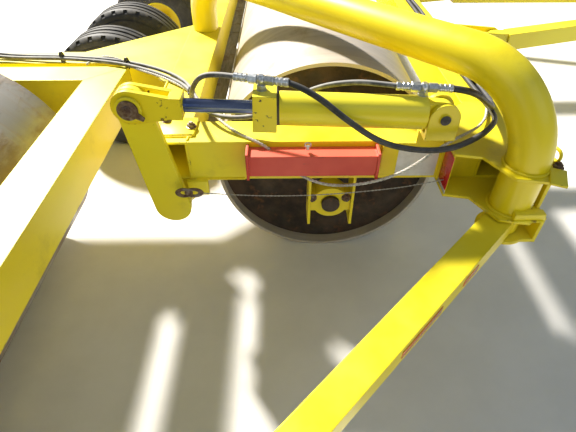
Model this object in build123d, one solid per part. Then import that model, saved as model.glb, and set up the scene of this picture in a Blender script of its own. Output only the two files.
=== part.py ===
from build123d import *
import math
import os

# A three-section folding land roller with its drums on the ground, wings out and tongue on its jack.
# Travel is towards +X, the right wing lies at -Y, and all sizes are in millimetres.
# The right half is drawn first and the left half is its mirror image.

os.makedirs("parts", exist_ok=True)

# Drums
drum_diameter = 1067
drum_length = 4267
shell_wall = 16
end_plate_recess = 60
end_plate_thickness = 12
hub_diameter = 200
hub_width = 36
shaft_diameter = 80
running_gap = 0.1

# Frame tubes round each drum
beam_width = 178
beam_height = 178
end_beam_width = 160
tube_wall = 10
frame_bottom = 700
drum_to_beam = 51.5
drum_to_end_beam = 144.5

# Where the right wing stands from the centre section
wing_gap = 237
wing_overlap = 116

# Bearing hangers under the end beams
hanger_plate = 12
hanger_width = 120
hanger_half_span = 89
hanger_drop = 280
bearing_radius = 80
bearing_width = 84
bearing_block_height = 90

# Scraper strips under the rear beams
scraper_thickness = 12
scraper_seat = 75
scraper_to_drum = 8
scraper_sections = 3
scraper_section_gap = 20
scraper_end_margin = 34

# Lift gear, in the plane of its lever: x forward and z up from the pivot
lift_pivot_z = 600
lift_plane_gap = 50
lever_pin = (-66, 470)
base_pin = (1034, 425)
wheel_axle = (-686, -188)
lever_thickness = 25
lever_foot_radius = 75
lever_head_radius = 62
pin_radius = 20
pin_head_radius = 46
pin_head_start = 40
pin_head_thickness = 10
eye_side_gap = 5
ear_thickness = 20
ear_hole_radius = 37
ear_neck_half = 40
fork_depth = 135
fork_block = 45
rod_radius = 25
rod_tail = 350
barrel_radius = 60
barrel_bore_radius = 50
barrel_start = 62
barrel_cap = 20
barrel_eye_radius = 46
barrel_eye_half_width = 28
gland_start = 590
gland_length = 85
gland_height = 135
gland_width = 112
base_ear_inner = 30
base_ear_radius = 55
bracket_back = 180
bracket_front = 60
bracket_drop = 150
bracket_face_rise = 30
bracket_web_gap = 20
base_pin_end = 8
bracket_web_thickness = 20

# Rockshaft and its legs
rockshaft_radius = 70
rockshaft_bore_radius = 58
drain_radius = 6
inner_bearing_places = (250, 1300)
rockshaft_bearing_thickness = 24
rockshaft_bearing_radius = 86
bearing_to_scraper = 5
leg_place = 710
leg_width = 110
leg_root_radius = 85
leg_tip_radius = 62
tyre_places = (450, 970)

# Wheels
tyre_radius = 400
tyre_width = 280
tread_width = 190
tread_shoulder_radius = 375
tread_shoulder_width = 250
sidewall_radius = 300
bead_radius = 195
bead_width = 220
rim_wall = 12
wheel_disc_thickness = 14
wheel_hub_radius = 62
wheel_hub_width = 116
axle_radius = 35

# Wheel gear on each wing's rear beam
wing_pivot_inset = 1589
wing_shaft_radius = 50
wing_boss_radius = 82
wing_boss_length = 32
wing_bracket_plate = 20
wing_arm_inset = 74
wing_arm_thickness = 50
wing_tyre_inset = 304
wing_stub_radius = 30
wing_shaft_gap = 1
wing_stub_tail = 10

# Fold hinge behind the rear beam
fold_behind_axle = 345
fold_from_wing = 153
fold_pin_radius = 30
fold_pin_cap_radius = 46
fold_pin_cap = 14
fold_plate_thickness = 20
fold_nose_radius = 75
fold_plate_half_root = 150
fold_boss_radius = 58
fold_boss_gap = 6
outrigger_width = 152
outrigger_height = 152
gusset_thickness = 12
inner_gusset = (537, 434)
outer_gusset = (197, 264)

# Corner brackets, arch pipes and draft poles
post_setback = 9
post_out = 180
pipe_radius = 76
pipe_wall = 8
pipe_over_drum = 57
pipe_post_bend = 320
pipe_end_bend = 240
pipe_end_y = -1150
pipe_weld_land = 10
corner_plate = 12
corner_web_inset = 157
corner_front_gap = 13
corner_inset = 140
corner_margin = 20
corner_nose = (40, 30)
corner_toe = (-70, 10)
corner_heel = (-140, 50)
corner_side_run = 110
side_web_run = 100
fork_plate_thickness = 15
fork_plate_radius = 95
fork_half_width = 80
fork_pin_tail = 10
pole_pin_radius = 25
pole_gap = 5
pole_width = 102
pole_height = 88
pole_wall = 8
pole_eye_radius = 60
pole_angle = 225
pole_end_gap = 85
rest_plate = 12
rest_half_width = 150
rest_reach = 140
rest_top_margin = 20

# Transport locks stowed on the end beams
lock_length = 517
lock_start_x = -354
lock_height = 90
lock_centre_z = 810
lock_depth = 72
lock_wall = 8
lock_end_overhang = 14
lock_end_thickness = 10
lock_rod_gap = 2

# Tongue
hinge_reach = 357
hinge_z = 789
brace_y = 1120
lug_plate = 20
lug_half_gap = 45
lug_nose_radius = 60
tongue_eye_radius = 50
tongue_eye_half_width = 40
tongue_pin_radius = 20
tongue_setback = 75
tongue_width = 152
tongue_height = 152
tongue_front_x = 5240
brace_width = 102
brace_height = 100
brace_wall = 8
brace_meet_x = 4490
hitch_plate = 30
hitch_tine = 25
hitch_throat = 50
hitch_z = 500
hitch_nose_radius = 60
hitch_pin_x = 5380
hitch_hole_radius = 18
jack_x = 4900
jack_y = 140
jack_tube_radius = 42
jack_leg_radius = 32
jack_tube_bottom = 420
jack_tube_top = 1040
jack_cap = 14
jack_leg_top = 640
jack_foot_radius = 100
jack_foot_thickness = 12
jack_bracket_width = 80
jack_bracket_bottom = 740
jack_bracket_top = 840
jack_head_radius = 30
jack_head_height = 36
crank_radius = 10
crank_reach = 70
crank_throw = 160
crank_grip = 90

# Places worked out from the sizes above
drum_radius = drum_diameter / 2
half_drum = drum_length / 2
frame_top = frame_bottom + beam_height
frame_middle = frame_bottom + beam_height / 2
beam_inner = drum_radius + drum_to_beam
beam_outer = beam_inner + beam_width
beam_middle = beam_inner + beam_width / 2
end_inner = half_drum + drum_to_end_beam
end_outer = end_inner + end_beam_width
end_middle = end_inner + end_beam_width / 2
lift_pivot_x = -beam_middle
wing_axle_x = -(2 * beam_outer + wing_gap)
wing_centre_y = -(half_drum - wing_overlap + half_drum)
wing_pivot_y = wing_centre_y - end_outer + wing_pivot_inset
fold_x = wing_axle_x - fold_behind_axle
fold_y = wing_centre_y + end_outer + fold_from_wing
post_x = beam_middle - post_setback
post_y = -(end_outer + post_out)
pipe_height = drum_diameter + pipe_over_drum + pipe_radius
corner_web_x = beam_inner - corner_web_inset
corner_front_x = beam_outer + corner_front_gap
hinge_x = beam_outer + hinge_reach
wing_rear_face = wing_axle_x - beam_outer
lift_plane_y = -(end_outer + lift_plane_gap)
wing_lift_x = wing_rear_face - lift_plane_gap
wing_tyre_x = wing_rear_face - wing_tyre_inset
front_reach = hitch_pin_x + hitch_nose_radius
rear_reach = wing_tyre_x - tyre_width / 2
origin_x = (front_reach + rear_reach) / 2
lift_length = math.dist(lever_pin, base_pin)
lift_angle = math.degrees(math.atan2(lever_pin[1] - base_pin[1], lever_pin[0] - base_pin[0]))


# Small helpers
def block(x0, x1, y0, y1, z0, z1):
    middle = ((x0 + x1) / 2, (y0 + y1) / 2, (z0 + z1) / 2)
    return Pos(*middle) * Box(abs(x1 - x0), abs(y1 - y0), abs(z1 - z0))


def round_along_y(x, z, radius, y0, y1):
    return Pos(x, (y0 + y1) / 2, z) * Rot(90, 0, 0) * Cylinder(radius, abs(y1 - y0))


def round_along_x(y, z, radius, x0, x1):
    return Pos((x0 + x1) / 2, y, z) * Rot(0, 90, 0) * Cylinder(radius, abs(x1 - x0))


def round_upright(x, y, radius, z0, z1):
    return Pos(x, y, (z0 + z1) / 2) * Cylinder(radius, abs(z1 - z0))


def flat_plate(points, z0, z1):
    face = Face(Wire.make_polygon([(x, y, z0) for x, y in points]))
    return extrude(face, z1 - z0, dir=(0, 0, 1))


def side_plate(points, y0, y1):
    face = Face(Wire.make_polygon([(x, y0, z) for x, z in points]))
    return extrude(face, y1 - y0, dir=(0, 1, 0))


def tapered_link(a, a_radius, b, b_radius, y0, y1):
    # A plate in the x-z plane with round ends of two radii joined by their tangents
    length = math.dist(a, b)
    heading = math.atan2(b[1] - a[1], b[0] - a[0])
    lean = math.acos((a_radius - b_radius) / length)

    def on_circle(centre, radius, angle):
        return (centre[0] + radius * math.cos(angle), y0, centre[1] + radius * math.sin(angle))

    a_left = on_circle(a, a_radius, heading + lean)
    a_right = on_circle(a, a_radius, heading - lean)
    b_left = on_circle(b, b_radius, heading + lean)
    b_right = on_circle(b, b_radius, heading - lean)
    edges = [
        Edge.make_line(a_left, b_left),
        Edge.make_three_point_arc(b_left, on_circle(b, b_radius, heading), b_right),
        Edge.make_line(b_right, a_right),
        Edge.make_three_point_arc(a_right, on_circle(a, a_radius, heading + math.pi), a_left),
    ]
    return extrude(Face(Wire(edges)), y1 - y0, dir=(0, 1, 0))


def mitred_tube(corners, z0, z1, wall):
    # corners run outer start, inner start, inner end, outer end, seen from above
    outer_a, inner_a, inner_b, outer_b = corners
    along_y = inner_a[0] == inner_b[0]
    width = abs(inner_a[0] - outer_a[0]) if along_y else abs(inner_a[1] - outer_a[1])
    share = wall / width

    def between(a, b, part):
        return (a[0] + (b[0] - a[0]) * part, a[1] + (b[1] - a[1]) * part)

    hollow = [
        between(outer_a, inner_a, share),
        between(outer_a, inner_a, 1 - share),
        between(outer_b, inner_b, 1 - share),
        between(outer_b, inner_b, share),
    ]
    return flat_plate(corners, z0, z1) - flat_plate(hollow, z0 + wall, z1 - wall)


def turned(profile):
    # Spins a profile of (y, radius) points about the y axis
    face = Face(Wire.make_polygon([(radius, y, 0) for y, radius in profile]))
    return revolve(face, Axis.Y, 360)


def left_of(shape):
    return mirror(shape, about=Plane.XZ)


def group(*shapes):
    solids = []
    for shape in shapes:
        solids.extend(shape.solids())
    return Compound(children=solids) if len(solids) > 1 else solids[0]


def write(name, *shapes):
    whole = group(*shapes)
    export_step(Pos(-origin_x, 0, 0) * whole, f"parts/{name}.step")


def write_pair(name, *shapes):
    write(f"right_{name}", *shapes)
    write(f"left_{name}", *[left_of(shape) for shape in shapes])


# Drums and their running gear
def drum_shell(x, y):
    shell = Cylinder(drum_radius, drum_length) - Cylinder(drum_radius - shell_wall, drum_length)
    return Pos(x, y, drum_radius) * Rot(90, 0, 0) * shell


def drum_end(x, y, outward):
    plate_outer = y + outward * (half_drum - end_plate_recess)
    plate_inner = plate_outer - outward * end_plate_thickness
    shaft_end = y + outward * (end_middle + hanger_width / 2)
    plate = round_along_y(x, drum_radius, drum_radius - shell_wall, plate_inner, plate_outer)
    hub = round_along_y(x, drum_radius, hub_diameter / 2, plate_outer, plate_outer + outward * hub_width)
    shaft = round_along_y(x, drum_radius, shaft_diameter / 2, plate_inner, shaft_end)
    return plate + hub + shaft


def drum_hanger(x, y, outward):
    middle = y + outward * end_middle
    y0 = middle - hanger_width / 2
    y1 = middle + hanger_width / 2
    low = frame_bottom - hanger_drop
    half_block = bearing_block_height / 2
    hanger = block(
        x - hanger_half_span, x + hanger_half_span,
        middle - bearing_width / 2, middle + bearing_width / 2,
        drum_radius - half_block, drum_radius + half_block,
    )
    hanger += round_along_y(
        x, drum_radius, bearing_radius, middle - bearing_width / 2, middle + bearing_width / 2
    )
    for side in (-1, 1):
        inner = x + side * hanger_half_span
        hanger += block(inner, inner + side * hanger_plate, y0, y1, low, frame_bottom)
    bore = round_along_y(x, drum_radius, shaft_diameter / 2 + running_gap, y0, y1)
    return hanger - bore


def scrapers(x, y):
    low = frame_bottom - scraper_thickness
    half_width = math.sqrt(drum_radius ** 2 - (low - drum_radius) ** 2)
    front = x - half_width - scraper_to_drum
    back = x - beam_inner - scraper_seat
    run = drum_length - 2 * scraper_end_margin
    section = (run - scraper_section_gap * (scraper_sections - 1)) / scraper_sections
    strips = []
    for index in range(scraper_sections):
        y0 = y - run / 2 + index * (section + scraper_section_gap)
        strips.append(block(back, front, y0, y0 + section, low, frame_bottom))
    return strips


# Centre frame
def long_beams(x, half_length):
    beams = []
    for side in (-1, 1):
        outer = x + side * beam_outer
        inner = x + side * beam_inner
        corners = [(outer, -half_length), (inner, -half_length), (inner, half_length), (outer, half_length)]
        beams.append(mitred_tube(corners, frame_bottom, frame_top, tube_wall))
    return beams


def centre_end_beam():
    corners = [
        (beam_inner, -end_outer), (beam_inner, -end_inner),
        (-beam_inner, -end_inner), (-beam_inner, -end_outer),
    ]
    return mitred_tube(corners, frame_bottom, frame_top, tube_wall)


def outrigger():
    y0 = fold_y - outrigger_width / 2
    y1 = fold_y + outrigger_width / 2
    z0 = frame_middle - outrigger_height / 2
    z1 = frame_middle + outrigger_height / 2
    corners = [(-beam_outer, y0), (-beam_outer, y1), (fold_x, y1), (fold_x, y0)]
    arm = mitred_tube(corners, z0, z1, tube_wall)
    low = frame_bottom + fold_boss_gap
    high = frame_top - fold_boss_gap
    arm += round_upright(fold_x, fold_y, fold_boss_radius, low, high)
    arm -= round_upright(fold_x, fold_y, fold_pin_radius + running_gap, low, high)
    inner = [(-beam_outer, y1), (-beam_outer, y1 + inner_gusset[1]), (-beam_outer - inner_gusset[0], y1)]
    outer = [(-beam_outer, y0), (-beam_outer, y0 - outer_gusset[1]), (-beam_outer - outer_gusset[0], y0)]
    for corner in (inner, outer):
        arm += flat_plate(corner, z1 - gusset_thickness, z1)
    return arm


def arch_pipe():
    end_bend = min(pipe_end_bend, pipe_height - frame_top - pipe_weld_land)
    route = FilletPolyline(
        (post_x, post_y, frame_bottom),
        (post_x, post_y, pipe_height),
        (-beam_middle, pipe_end_y, pipe_height),
        (-beam_middle, pipe_end_y, frame_top),
        radius=[pipe_post_bend, end_bend],
    )
    foot = Plane(origin=(post_x, post_y, frame_bottom), z_dir=(0, 0, 1))
    ring = foot * (Circle(pipe_radius) - Circle(pipe_radius - pipe_wall))
    return sweep(ring, path=route)


def corner_outline():
    # The plate from the end beam round the post, listed as x and y
    inner_y = -end_inner + corner_inset
    return [
        (corner_web_x, -end_inner - corner_margin), (beam_inner, inner_y), (corner_front_x, inner_y),
        (corner_front_x, post_y - corner_margin),
        (post_x + corner_nose[0], post_y - pipe_radius - corner_nose[1]),
        (post_x + corner_toe[0], post_y - pipe_radius - corner_toe[1]),
        (post_x + corner_heel[0], post_y + corner_heel[1]),
        (corner_web_x, -end_outer - corner_side_run),
    ]


def corner_bracket():
    lower = flat_plate(corner_outline(), frame_bottom - corner_plate, frame_bottom)
    upper = flat_plate(corner_outline(), frame_top, frame_top + corner_plate)
    upper -= round_upright(post_x, post_y, pipe_radius, frame_top, frame_top + corner_plate)
    side_web = block(
        corner_web_x, corner_web_x + corner_plate, -end_outer - side_web_run, -end_outer, frame_bottom, frame_top
    )
    front_web = block(
        beam_outer, corner_front_x, post_y - corner_margin, -end_inner + corner_inset, frame_bottom, frame_top
    )
    fork_top = frame_bottom - corner_plate
    fork_low = fork_top - pole_height - 2 * pole_gap - fork_plate_thickness
    fork = round_upright(post_x, post_y, fork_plate_radius, fork_low, fork_low + fork_plate_thickness)
    y0 = post_y - fork_half_width
    y1 = post_y + fork_half_width
    fork += block(post_x, corner_front_x, y0, y1, fork_low, fork_low + fork_plate_thickness)
    fork += block(beam_outer, corner_front_x, y0, y1, fork_low, frame_bottom)
    pin = round_upright(post_x, post_y, pole_pin_radius, fork_low - fork_pin_tail, fork_top)
    return upper + side_web + front_web + lower + fork + pin


def rockshaft_bearing(y):
    half = rockshaft_bearing_thickness / 2
    front = -beam_inner - scraper_seat - bearing_to_scraper
    hanger = block(
        lift_pivot_x - rockshaft_bearing_radius, front, y - half, y + half, lift_pivot_z, frame_bottom
    )
    hanger += round_along_y(lift_pivot_x, lift_pivot_z, rockshaft_bearing_radius, y - half, y + half)
    hole = rockshaft_radius + running_gap
    return hanger - round_along_y(lift_pivot_x, lift_pivot_z, hole, y - half, y + half)


def transport_lock():
    y_face = -end_outer
    y_web = y_face - lock_depth
    x0 = lock_start_x
    x1 = lock_start_x + lock_length
    z0 = lock_centre_z - lock_height / 2
    z1 = lock_centre_z + lock_height / 2
    lock = block(x0, x1, y_web, y_web + lock_wall, z0, z1)
    lock += block(x0, x1, y_web, y_face, z0, z0 + lock_wall)
    lock += block(x0, x1, y_web, y_face, z1 - lock_wall, z1)
    for end in (x0, x1 - lock_end_thickness):
        lock += block(
            end, end + lock_end_thickness, y_web - lock_wall, y_face,
            z0 - lock_end_overhang, z1 + lock_end_overhang,
        )
    return lock - round_along_x(y_face, lock_centre_z, rod_radius + lock_rod_gap, x0, x1)


# Lift gear, drawn with its pivot at the origin and its plane at y = 0
def lift_lever():
    half = lever_thickness / 2
    lever = tapered_link((0, 0), lever_foot_radius, lever_pin, lever_head_radius, -half, half)
    reach = pin_head_start + pin_head_thickness
    lever += round_along_y(*lever_pin, pin_radius, -reach, reach)
    for side in (-1, 1):
        lever += round_along_y(*lever_pin, pin_head_radius, side * pin_head_start, side * reach)
    return lever


def along_cylinder(shape):
    # Turns a shape drawn along +x from the base pin so that it points at the lever's pin
    return Pos(base_pin[0], 0, base_pin[1]) * Rot(0, -lift_angle, 0) * shape


def lift_barrel():
    tube = round_along_x(0, 0, barrel_radius, barrel_start, gland_start)
    tube -= round_along_x(0, 0, barrel_bore_radius, barrel_start + barrel_cap, gland_start)
    gland_end = gland_start + gland_length
    gland = block(
        gland_start, gland_end, -gland_width / 2, gland_width / 2, -gland_height / 2, gland_height / 2
    )
    gland -= round_along_x(0, 0, rod_radius + running_gap, gland_start, gland_end)
    half = barrel_eye_half_width
    eye = round_along_y(0, 0, barrel_eye_radius, -half, half)
    eye += block(0, barrel_start + barrel_cap / 2, -half, half, -barrel_eye_radius, barrel_eye_radius)
    eye -= round_along_y(0, 0, pin_radius + running_gap, -half, half)
    return along_cylinder(tube + gland + eye)


def lift_rod():
    fork_start = lift_length - fork_depth
    ear_start = lever_thickness / 2 + eye_side_gap
    ear_end = ear_start + ear_thickness
    rod = round_along_x(0, 0, rod_radius, rod_tail, fork_start - fork_block)
    rod += block(
        fork_start - fork_block, fork_start, -ear_end, ear_end, -ear_neck_half, ear_neck_half
    )
    for side in (-1, 1):
        y0, y1 = sorted((side * ear_start, side * ear_end))
        ear = tapered_link(
            (lift_length, 0), lever_head_radius, (fork_start, 0), ear_neck_half, y0, y1
        )
        ear -= block(fork_start - ear_neck_half, fork_start, y0, y1, -ear_neck_half, ear_neck_half)
        ear -= round_along_y(lift_length, 0, ear_hole_radius, y0, y1)
        rod += ear
    return along_cylinder(rod)


def base_bracket(beam_side):
    # Two ears for the barrel's eye on a plate that lies against the beam's face
    x, z = base_pin
    inner0 = base_ear_inner
    inner1 = lift_plane_gap
    face_low = frame_bottom - lift_pivot_z + bracket_face_rise
    face_high = face_low + bracket_drop
    ear = tapered_link((x, z), base_ear_radius, (x, face_high), base_ear_radius, inner0, inner1)
    plate = block(x - bracket_back, x + bracket_front, inner0, inner1, face_low, face_high)
    web_top = z - barrel_eye_radius - bracket_web_gap
    web_low = web_top - bracket_web_thickness
    web = block(x - base_ear_radius, x + base_ear_radius, -inner1, inner1, web_low, web_top)
    outer = tapered_link(
        (x, z), base_ear_radius, (x, web_top), base_ear_radius, -inner1, -inner0
    )
    outer -= block(
        x - base_ear_radius, x + base_ear_radius, -inner1, -inner0, web_low - base_ear_radius, web_low
    )
    pin = round_along_y(x, z, pin_radius, -inner1 - base_pin_end, inner1)
    whole = ear + plate + web + outer + pin
    return whole if beam_side > 0 else mirror(whole, about=Plane.XZ)


def on_centre(shape):
    return Pos(lift_pivot_x, lift_plane_y, lift_pivot_z) * shape


def on_wing(shape):
    return Pos(wing_lift_x, wing_pivot_y, lift_pivot_z) * Rot(0, 0, 90) * shape


def rockshaft():
    reach = end_outer + lift_plane_gap
    shaft = round_along_y(lift_pivot_x, lift_pivot_z, rockshaft_radius, -reach, reach)
    shaft -= round_along_y(lift_pivot_x, lift_pivot_z, rockshaft_bore_radius, -reach + lever_thickness,
                           reach - lever_thickness)
    shaft += on_centre(lift_lever()) + left_of(on_centre(lift_lever()))
    axle_x = lift_pivot_x + wheel_axle[0]
    axle_z = lift_pivot_z + wheel_axle[1]
    bore = round_along_y(lift_pivot_x, lift_pivot_z, rockshaft_bore_radius, -leg_place - leg_width,
                         leg_place + leg_width)
    for side in (-1, 1):
        y0 = side * leg_place - leg_width / 2
        leg = tapered_link(
            (lift_pivot_x, lift_pivot_z), leg_root_radius, (axle_x, axle_z), leg_tip_radius, y0, y0 + leg_width
        )
        leg -= round_along_y(axle_x, axle_z, axle_radius + running_gap, y0, y0 + leg_width)
        shaft += leg - bore
    return shaft - round_upright(lift_pivot_x, 0, drain_radius, lift_pivot_z - rockshaft_radius, lift_pivot_z)


# Wheels
def tyre(y_middle):
    half = (bead_width / 2, tyre_width / 2, tread_shoulder_width / 2, tread_width / 2)
    radii = (bead_radius, sidewall_radius, tread_shoulder_radius, tyre_radius)
    near = [(-h, r) for h, r in zip(half, radii)]
    far = [(h, r) for h, r in zip(reversed(half), reversed(radii))]
    return Pos(0, y_middle, 0) * turned(near + far)


def rim(y_middle, disc_side):
    half = bead_width / 2
    barrel = turned([(-half, bead_radius - rim_wall), (-half, bead_radius), (half, bead_radius),
                     (half, bead_radius - rim_wall)])
    disc_y = disc_side * (half / 2)
    disc = round_along_y(0, 0, bead_radius - rim_wall, disc_y, disc_y + disc_side * wheel_disc_thickness)
    hub = round_along_y(0, 0, wheel_hub_radius, disc_y - disc_side * wheel_hub_width / 2,
                        disc_y + disc_side * wheel_hub_width / 2)
    return Pos(0, y_middle, 0) * (barrel + disc + hub)


def centre_wheels():
    place = Pos(lift_pivot_x + wheel_axle[0], 0, lift_pivot_z + wheel_axle[1])
    tyres = [place * tyre(-y) for y in tyre_places]
    axle = round_along_y(0, 0, axle_radius, -tyre_places[1], -tyre_places[0])
    hubs = rim(-tyre_places[0], -1) + rim(-tyre_places[1], 1) + axle
    return tyres, place * hubs


def wing_wheel():
    # Drawn along y like the others, then turned so that its axle lies along x
    place = Pos(wing_tyre_x, wing_pivot_y + wheel_axle[0], lift_pivot_z + wheel_axle[1]) * Rot(0, 0, 90)
    hub = rim(0, -1)
    hub -= round_along_y(0, 0, wing_stub_radius + running_gap, -tyre_width, tyre_width)
    return place * tyre(0), place * hub


# Wings
def wing_tubes():
    front = wing_axle_x + beam_outer
    front_inner = wing_axle_x + beam_inner
    rear_inner = wing_axle_x - beam_inner
    rear = wing_axle_x - beam_outer
    near, near_inner = wing_centre_y + end_outer, wing_centre_y + end_inner
    far, far_inner = wing_centre_y - end_outer, wing_centre_y - end_inner
    long_sides = [
        [(front, near), (front_inner, near_inner), (front_inner, far_inner), (front, far)],
        [(rear, near), (rear_inner, near_inner), (rear_inner, far_inner), (rear, far)],
    ]
    short_sides = [
        [(front, near), (front_inner, near_inner), (rear_inner, near_inner), (rear, near)],
        [(front, far), (front_inner, far_inner), (rear_inner, far_inner), (rear, far)],
    ]
    return [[mitred_tube(side, frame_bottom, frame_top, tube_wall) for side in sides]
            for sides in (long_sides, short_sides)]


def wing_hinge():
    root_y = wing_centre_y + end_inner
    outline = [
        (fold_x - fold_nose_radius, fold_y), (fold_x - fold_plate_half_root, root_y),
        (fold_x + fold_plate_half_root, root_y), (fold_x + fold_nose_radius, fold_y),
    ]
    hinge = round_upright(fold_x, fold_y, fold_pin_radius, frame_bottom - fold_plate_thickness, frame_top)
    for low in (frame_bottom - fold_plate_thickness, frame_top):
        high = low + fold_plate_thickness
        hinge += flat_plate(outline, low, high) + round_upright(fold_x, fold_y, fold_nose_radius, low, high)
    top = frame_top + fold_plate_thickness
    return hinge + round_upright(fold_x, fold_y, fold_pin_cap_radius, top, top + fold_pin_cap)


def wing_boss():
    # The bearing plate for the wheel arm's pivot on the rear face of the beam
    y, z = wing_pivot_y, lift_pivot_z
    half = rockshaft_bearing_radius
    back = wing_rear_face - wing_bracket_plate
    plate = block(back, wing_rear_face, y - half, y + half, z, frame_top)
    plate += round_along_x(y, z, half, back, wing_rear_face)
    plate += round_along_x(y, z, wing_boss_radius, wing_rear_face - wing_boss_length, wing_rear_face)
    return plate - round_along_x(y, z, wing_shaft_radius + running_gap, wing_rear_face - wing_boss_length,
                                 wing_rear_face)


def wing_arm():
    outer = wing_rear_face - wing_arm_inset - wing_arm_thickness
    arm = on_wing(lift_lever())
    arm += round_along_x(wing_pivot_y, lift_pivot_z, wing_shaft_radius, outer, wing_rear_face - wing_shaft_gap)
    y0 = -(outer - wing_lift_x)
    link = tapered_link((0, 0), lever_foot_radius, wheel_axle, leg_tip_radius, y0 - wing_arm_thickness, y0)
    arm += on_wing(link)
    y = wing_pivot_y + wheel_axle[0]
    z = lift_pivot_z + wheel_axle[1]
    stub_start = wing_tyre_x - wheel_hub_width / 2
    return arm + round_along_x(y, z, wing_stub_radius, stub_start, outer + wing_stub_tail)


def pole_rest():
    # A bracket under the wing's front beam that carries the far end of the draft pole
    face = wing_axle_x + beam_outer
    y = post_y - (post_x - face)
    low = frame_bottom - corner_plate - 2 * pole_gap - pole_height - rest_plate
    back = block(face, face + rest_plate, y - rest_half_width, y + rest_half_width, low, frame_top - rest_top_margin)
    return back + block(face, face + rest_reach, y - rest_half_width, y + rest_half_width, low, low + rest_plate)


def draft_pole():
    reach = (post_x - wing_axle_x - beam_outer) * math.sqrt(2) - pole_end_gap
    top = frame_bottom - corner_plate - pole_gap
    low = top - pole_height
    half = pole_width / 2
    start = pole_eye_radius / 2
    corners = [(start, -half), (start, half), (reach, half), (reach, -half)]
    pole = mitred_tube(corners, low, top, pole_wall) + round_upright(0, 0, pole_eye_radius, low, top)
    pole -= round_upright(0, 0, pole_pin_radius + running_gap, low, top)
    return Pos(post_x, post_y, 0) * Rot(0, 0, pole_angle) * pole


# Tongue
def tongue_lug(y):
    reach = lug_half_gap + lug_plate
    lug = round_along_y(hinge_x, hinge_z, tongue_pin_radius, y - reach, y + reach)
    outline = [
        (beam_outer, frame_bottom), (beam_outer, frame_top), (hinge_x, hinge_z + lug_nose_radius),
        (hinge_x, hinge_z - lug_nose_radius),
    ]
    for side in (-1, 1):
        y0, y1 = sorted((y + side * lug_half_gap, y + side * (lug_half_gap + lug_plate)))
        lug += side_plate(outline, y0, y1)
        lug += round_along_y(hinge_x, hinge_z, lug_nose_radius, y0, y1)
    return lug


def tongue_eye(y):
    half = tongue_eye_half_width
    eye = round_along_y(hinge_x, hinge_z, tongue_eye_radius, y - half, y + half)
    eye += block(
        hinge_x, hinge_x + tongue_setback + tube_wall, y - half, y + half,
        hinge_z - tongue_eye_radius, hinge_z + tongue_eye_radius,
    )
    return eye - round_along_y(hinge_x, hinge_z, tongue_pin_radius + running_gap, y - half, y + half)


def tongue_beam():
    x0 = hinge_x + tongue_setback
    half = tongue_width / 2
    corners = [(x0, -half), (x0, half), (tongue_front_x, half), (tongue_front_x, -half)]
    z0 = hinge_z - tongue_height / 2
    beam = mitred_tube(corners, z0, z0 + tongue_height, tube_wall)
    cap = block(x0, x0 + tube_wall, -half, half, z0, z0 + tongue_height)
    return beam + cap + tongue_eye(0)


def tongue_brace():
    x0 = hinge_x + tongue_setback
    side = -tongue_width / 2
    slope = (side + brace_y) / (brace_meet_x - x0)
    rise = brace_width / 2 * math.sqrt(1 + slope ** 2)
    spread = rise / slope
    corners = [
        (x0, -brace_y + rise), (brace_meet_x - spread, side), (brace_meet_x + spread, side),
        (x0, -brace_y - rise),
    ]
    z0 = hinge_z - brace_height / 2
    brace = flat_plate(corners, z0, z0 + brace_height)
    inner = rise * (1 - 2 * brace_wall / brace_width)
    inner_spread = inner / slope
    hollow = [
        (x0 + tube_wall, -brace_y + inner + slope * tube_wall),
        (brace_meet_x - inner_spread, side), (brace_meet_x + inner_spread, side),
        (x0 + tube_wall, -brace_y - inner + slope * tube_wall),
    ]
    brace -= flat_plate(hollow, z0 + brace_wall, z0 + brace_height - brace_wall)
    return brace + tongue_eye(-brace_y)


def hitch():
    half = tongue_width / 2
    low = hitch_z - hitch_throat / 2 - hitch_tine
    top = hinge_z + tongue_height / 2
    clevis = block(tongue_front_x, tongue_front_x + hitch_plate, -half, half, low, top)
    for z0 in (low, low + hitch_tine + hitch_throat):
        clevis += block(
            tongue_front_x + hitch_plate, hitch_pin_x, -hitch_nose_radius, hitch_nose_radius, z0, z0 + hitch_tine
        )
        clevis += round_upright(hitch_pin_x, 0, hitch_nose_radius, z0, z0 + hitch_tine)
    high = low + 2 * hitch_tine + hitch_throat
    return clevis - round_upright(hitch_pin_x, 0, hitch_hole_radius, low, high)


def jack_tube():
    half = jack_bracket_width / 2
    tube = round_upright(jack_x, jack_y, jack_tube_radius, jack_tube_bottom, jack_tube_top)
    tube += block(
        jack_x - half, jack_x + half, tongue_width / 2, jack_y, jack_bracket_bottom, jack_bracket_top
    )
    bore_top = jack_tube_top - jack_cap
    tube -= round_upright(jack_x, jack_y, jack_leg_radius + running_gap, jack_tube_bottom, bore_top)
    elbow = jack_y + jack_tube_radius + crank_reach
    crank_z = jack_tube_top + jack_head_height / 2
    tube += round_upright(jack_x, jack_y, jack_head_radius, jack_tube_top, jack_tube_top + jack_head_height)
    tube += round_along_y(jack_x, crank_z, crank_radius, jack_y, elbow)
    tube += round_upright(jack_x, elbow, crank_radius, crank_z - crank_throw, crank_z + crank_radius)
    return tube + round_along_y(
        jack_x, crank_z - crank_throw + crank_radius, crank_radius, elbow - crank_radius, elbow + crank_grip
    )


def jack_leg():
    leg = round_upright(jack_x, jack_y, jack_leg_radius, 0, jack_leg_top)
    return leg + round_upright(jack_x, jack_y, jack_foot_radius, 0, jack_foot_thickness)


# Writing the centre section
end_beam = centre_end_beam()
corner = corner_bracket()
pipe = arch_pipe()
rigger = outrigger()
lock = transport_lock()
centre_hanger = drum_hanger(0, 0, -1)
centre_base = on_centre(base_bracket(1))
bearings = [rockshaft_bearing(-y) for y in (*inner_bearing_places, end_middle)]

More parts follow.
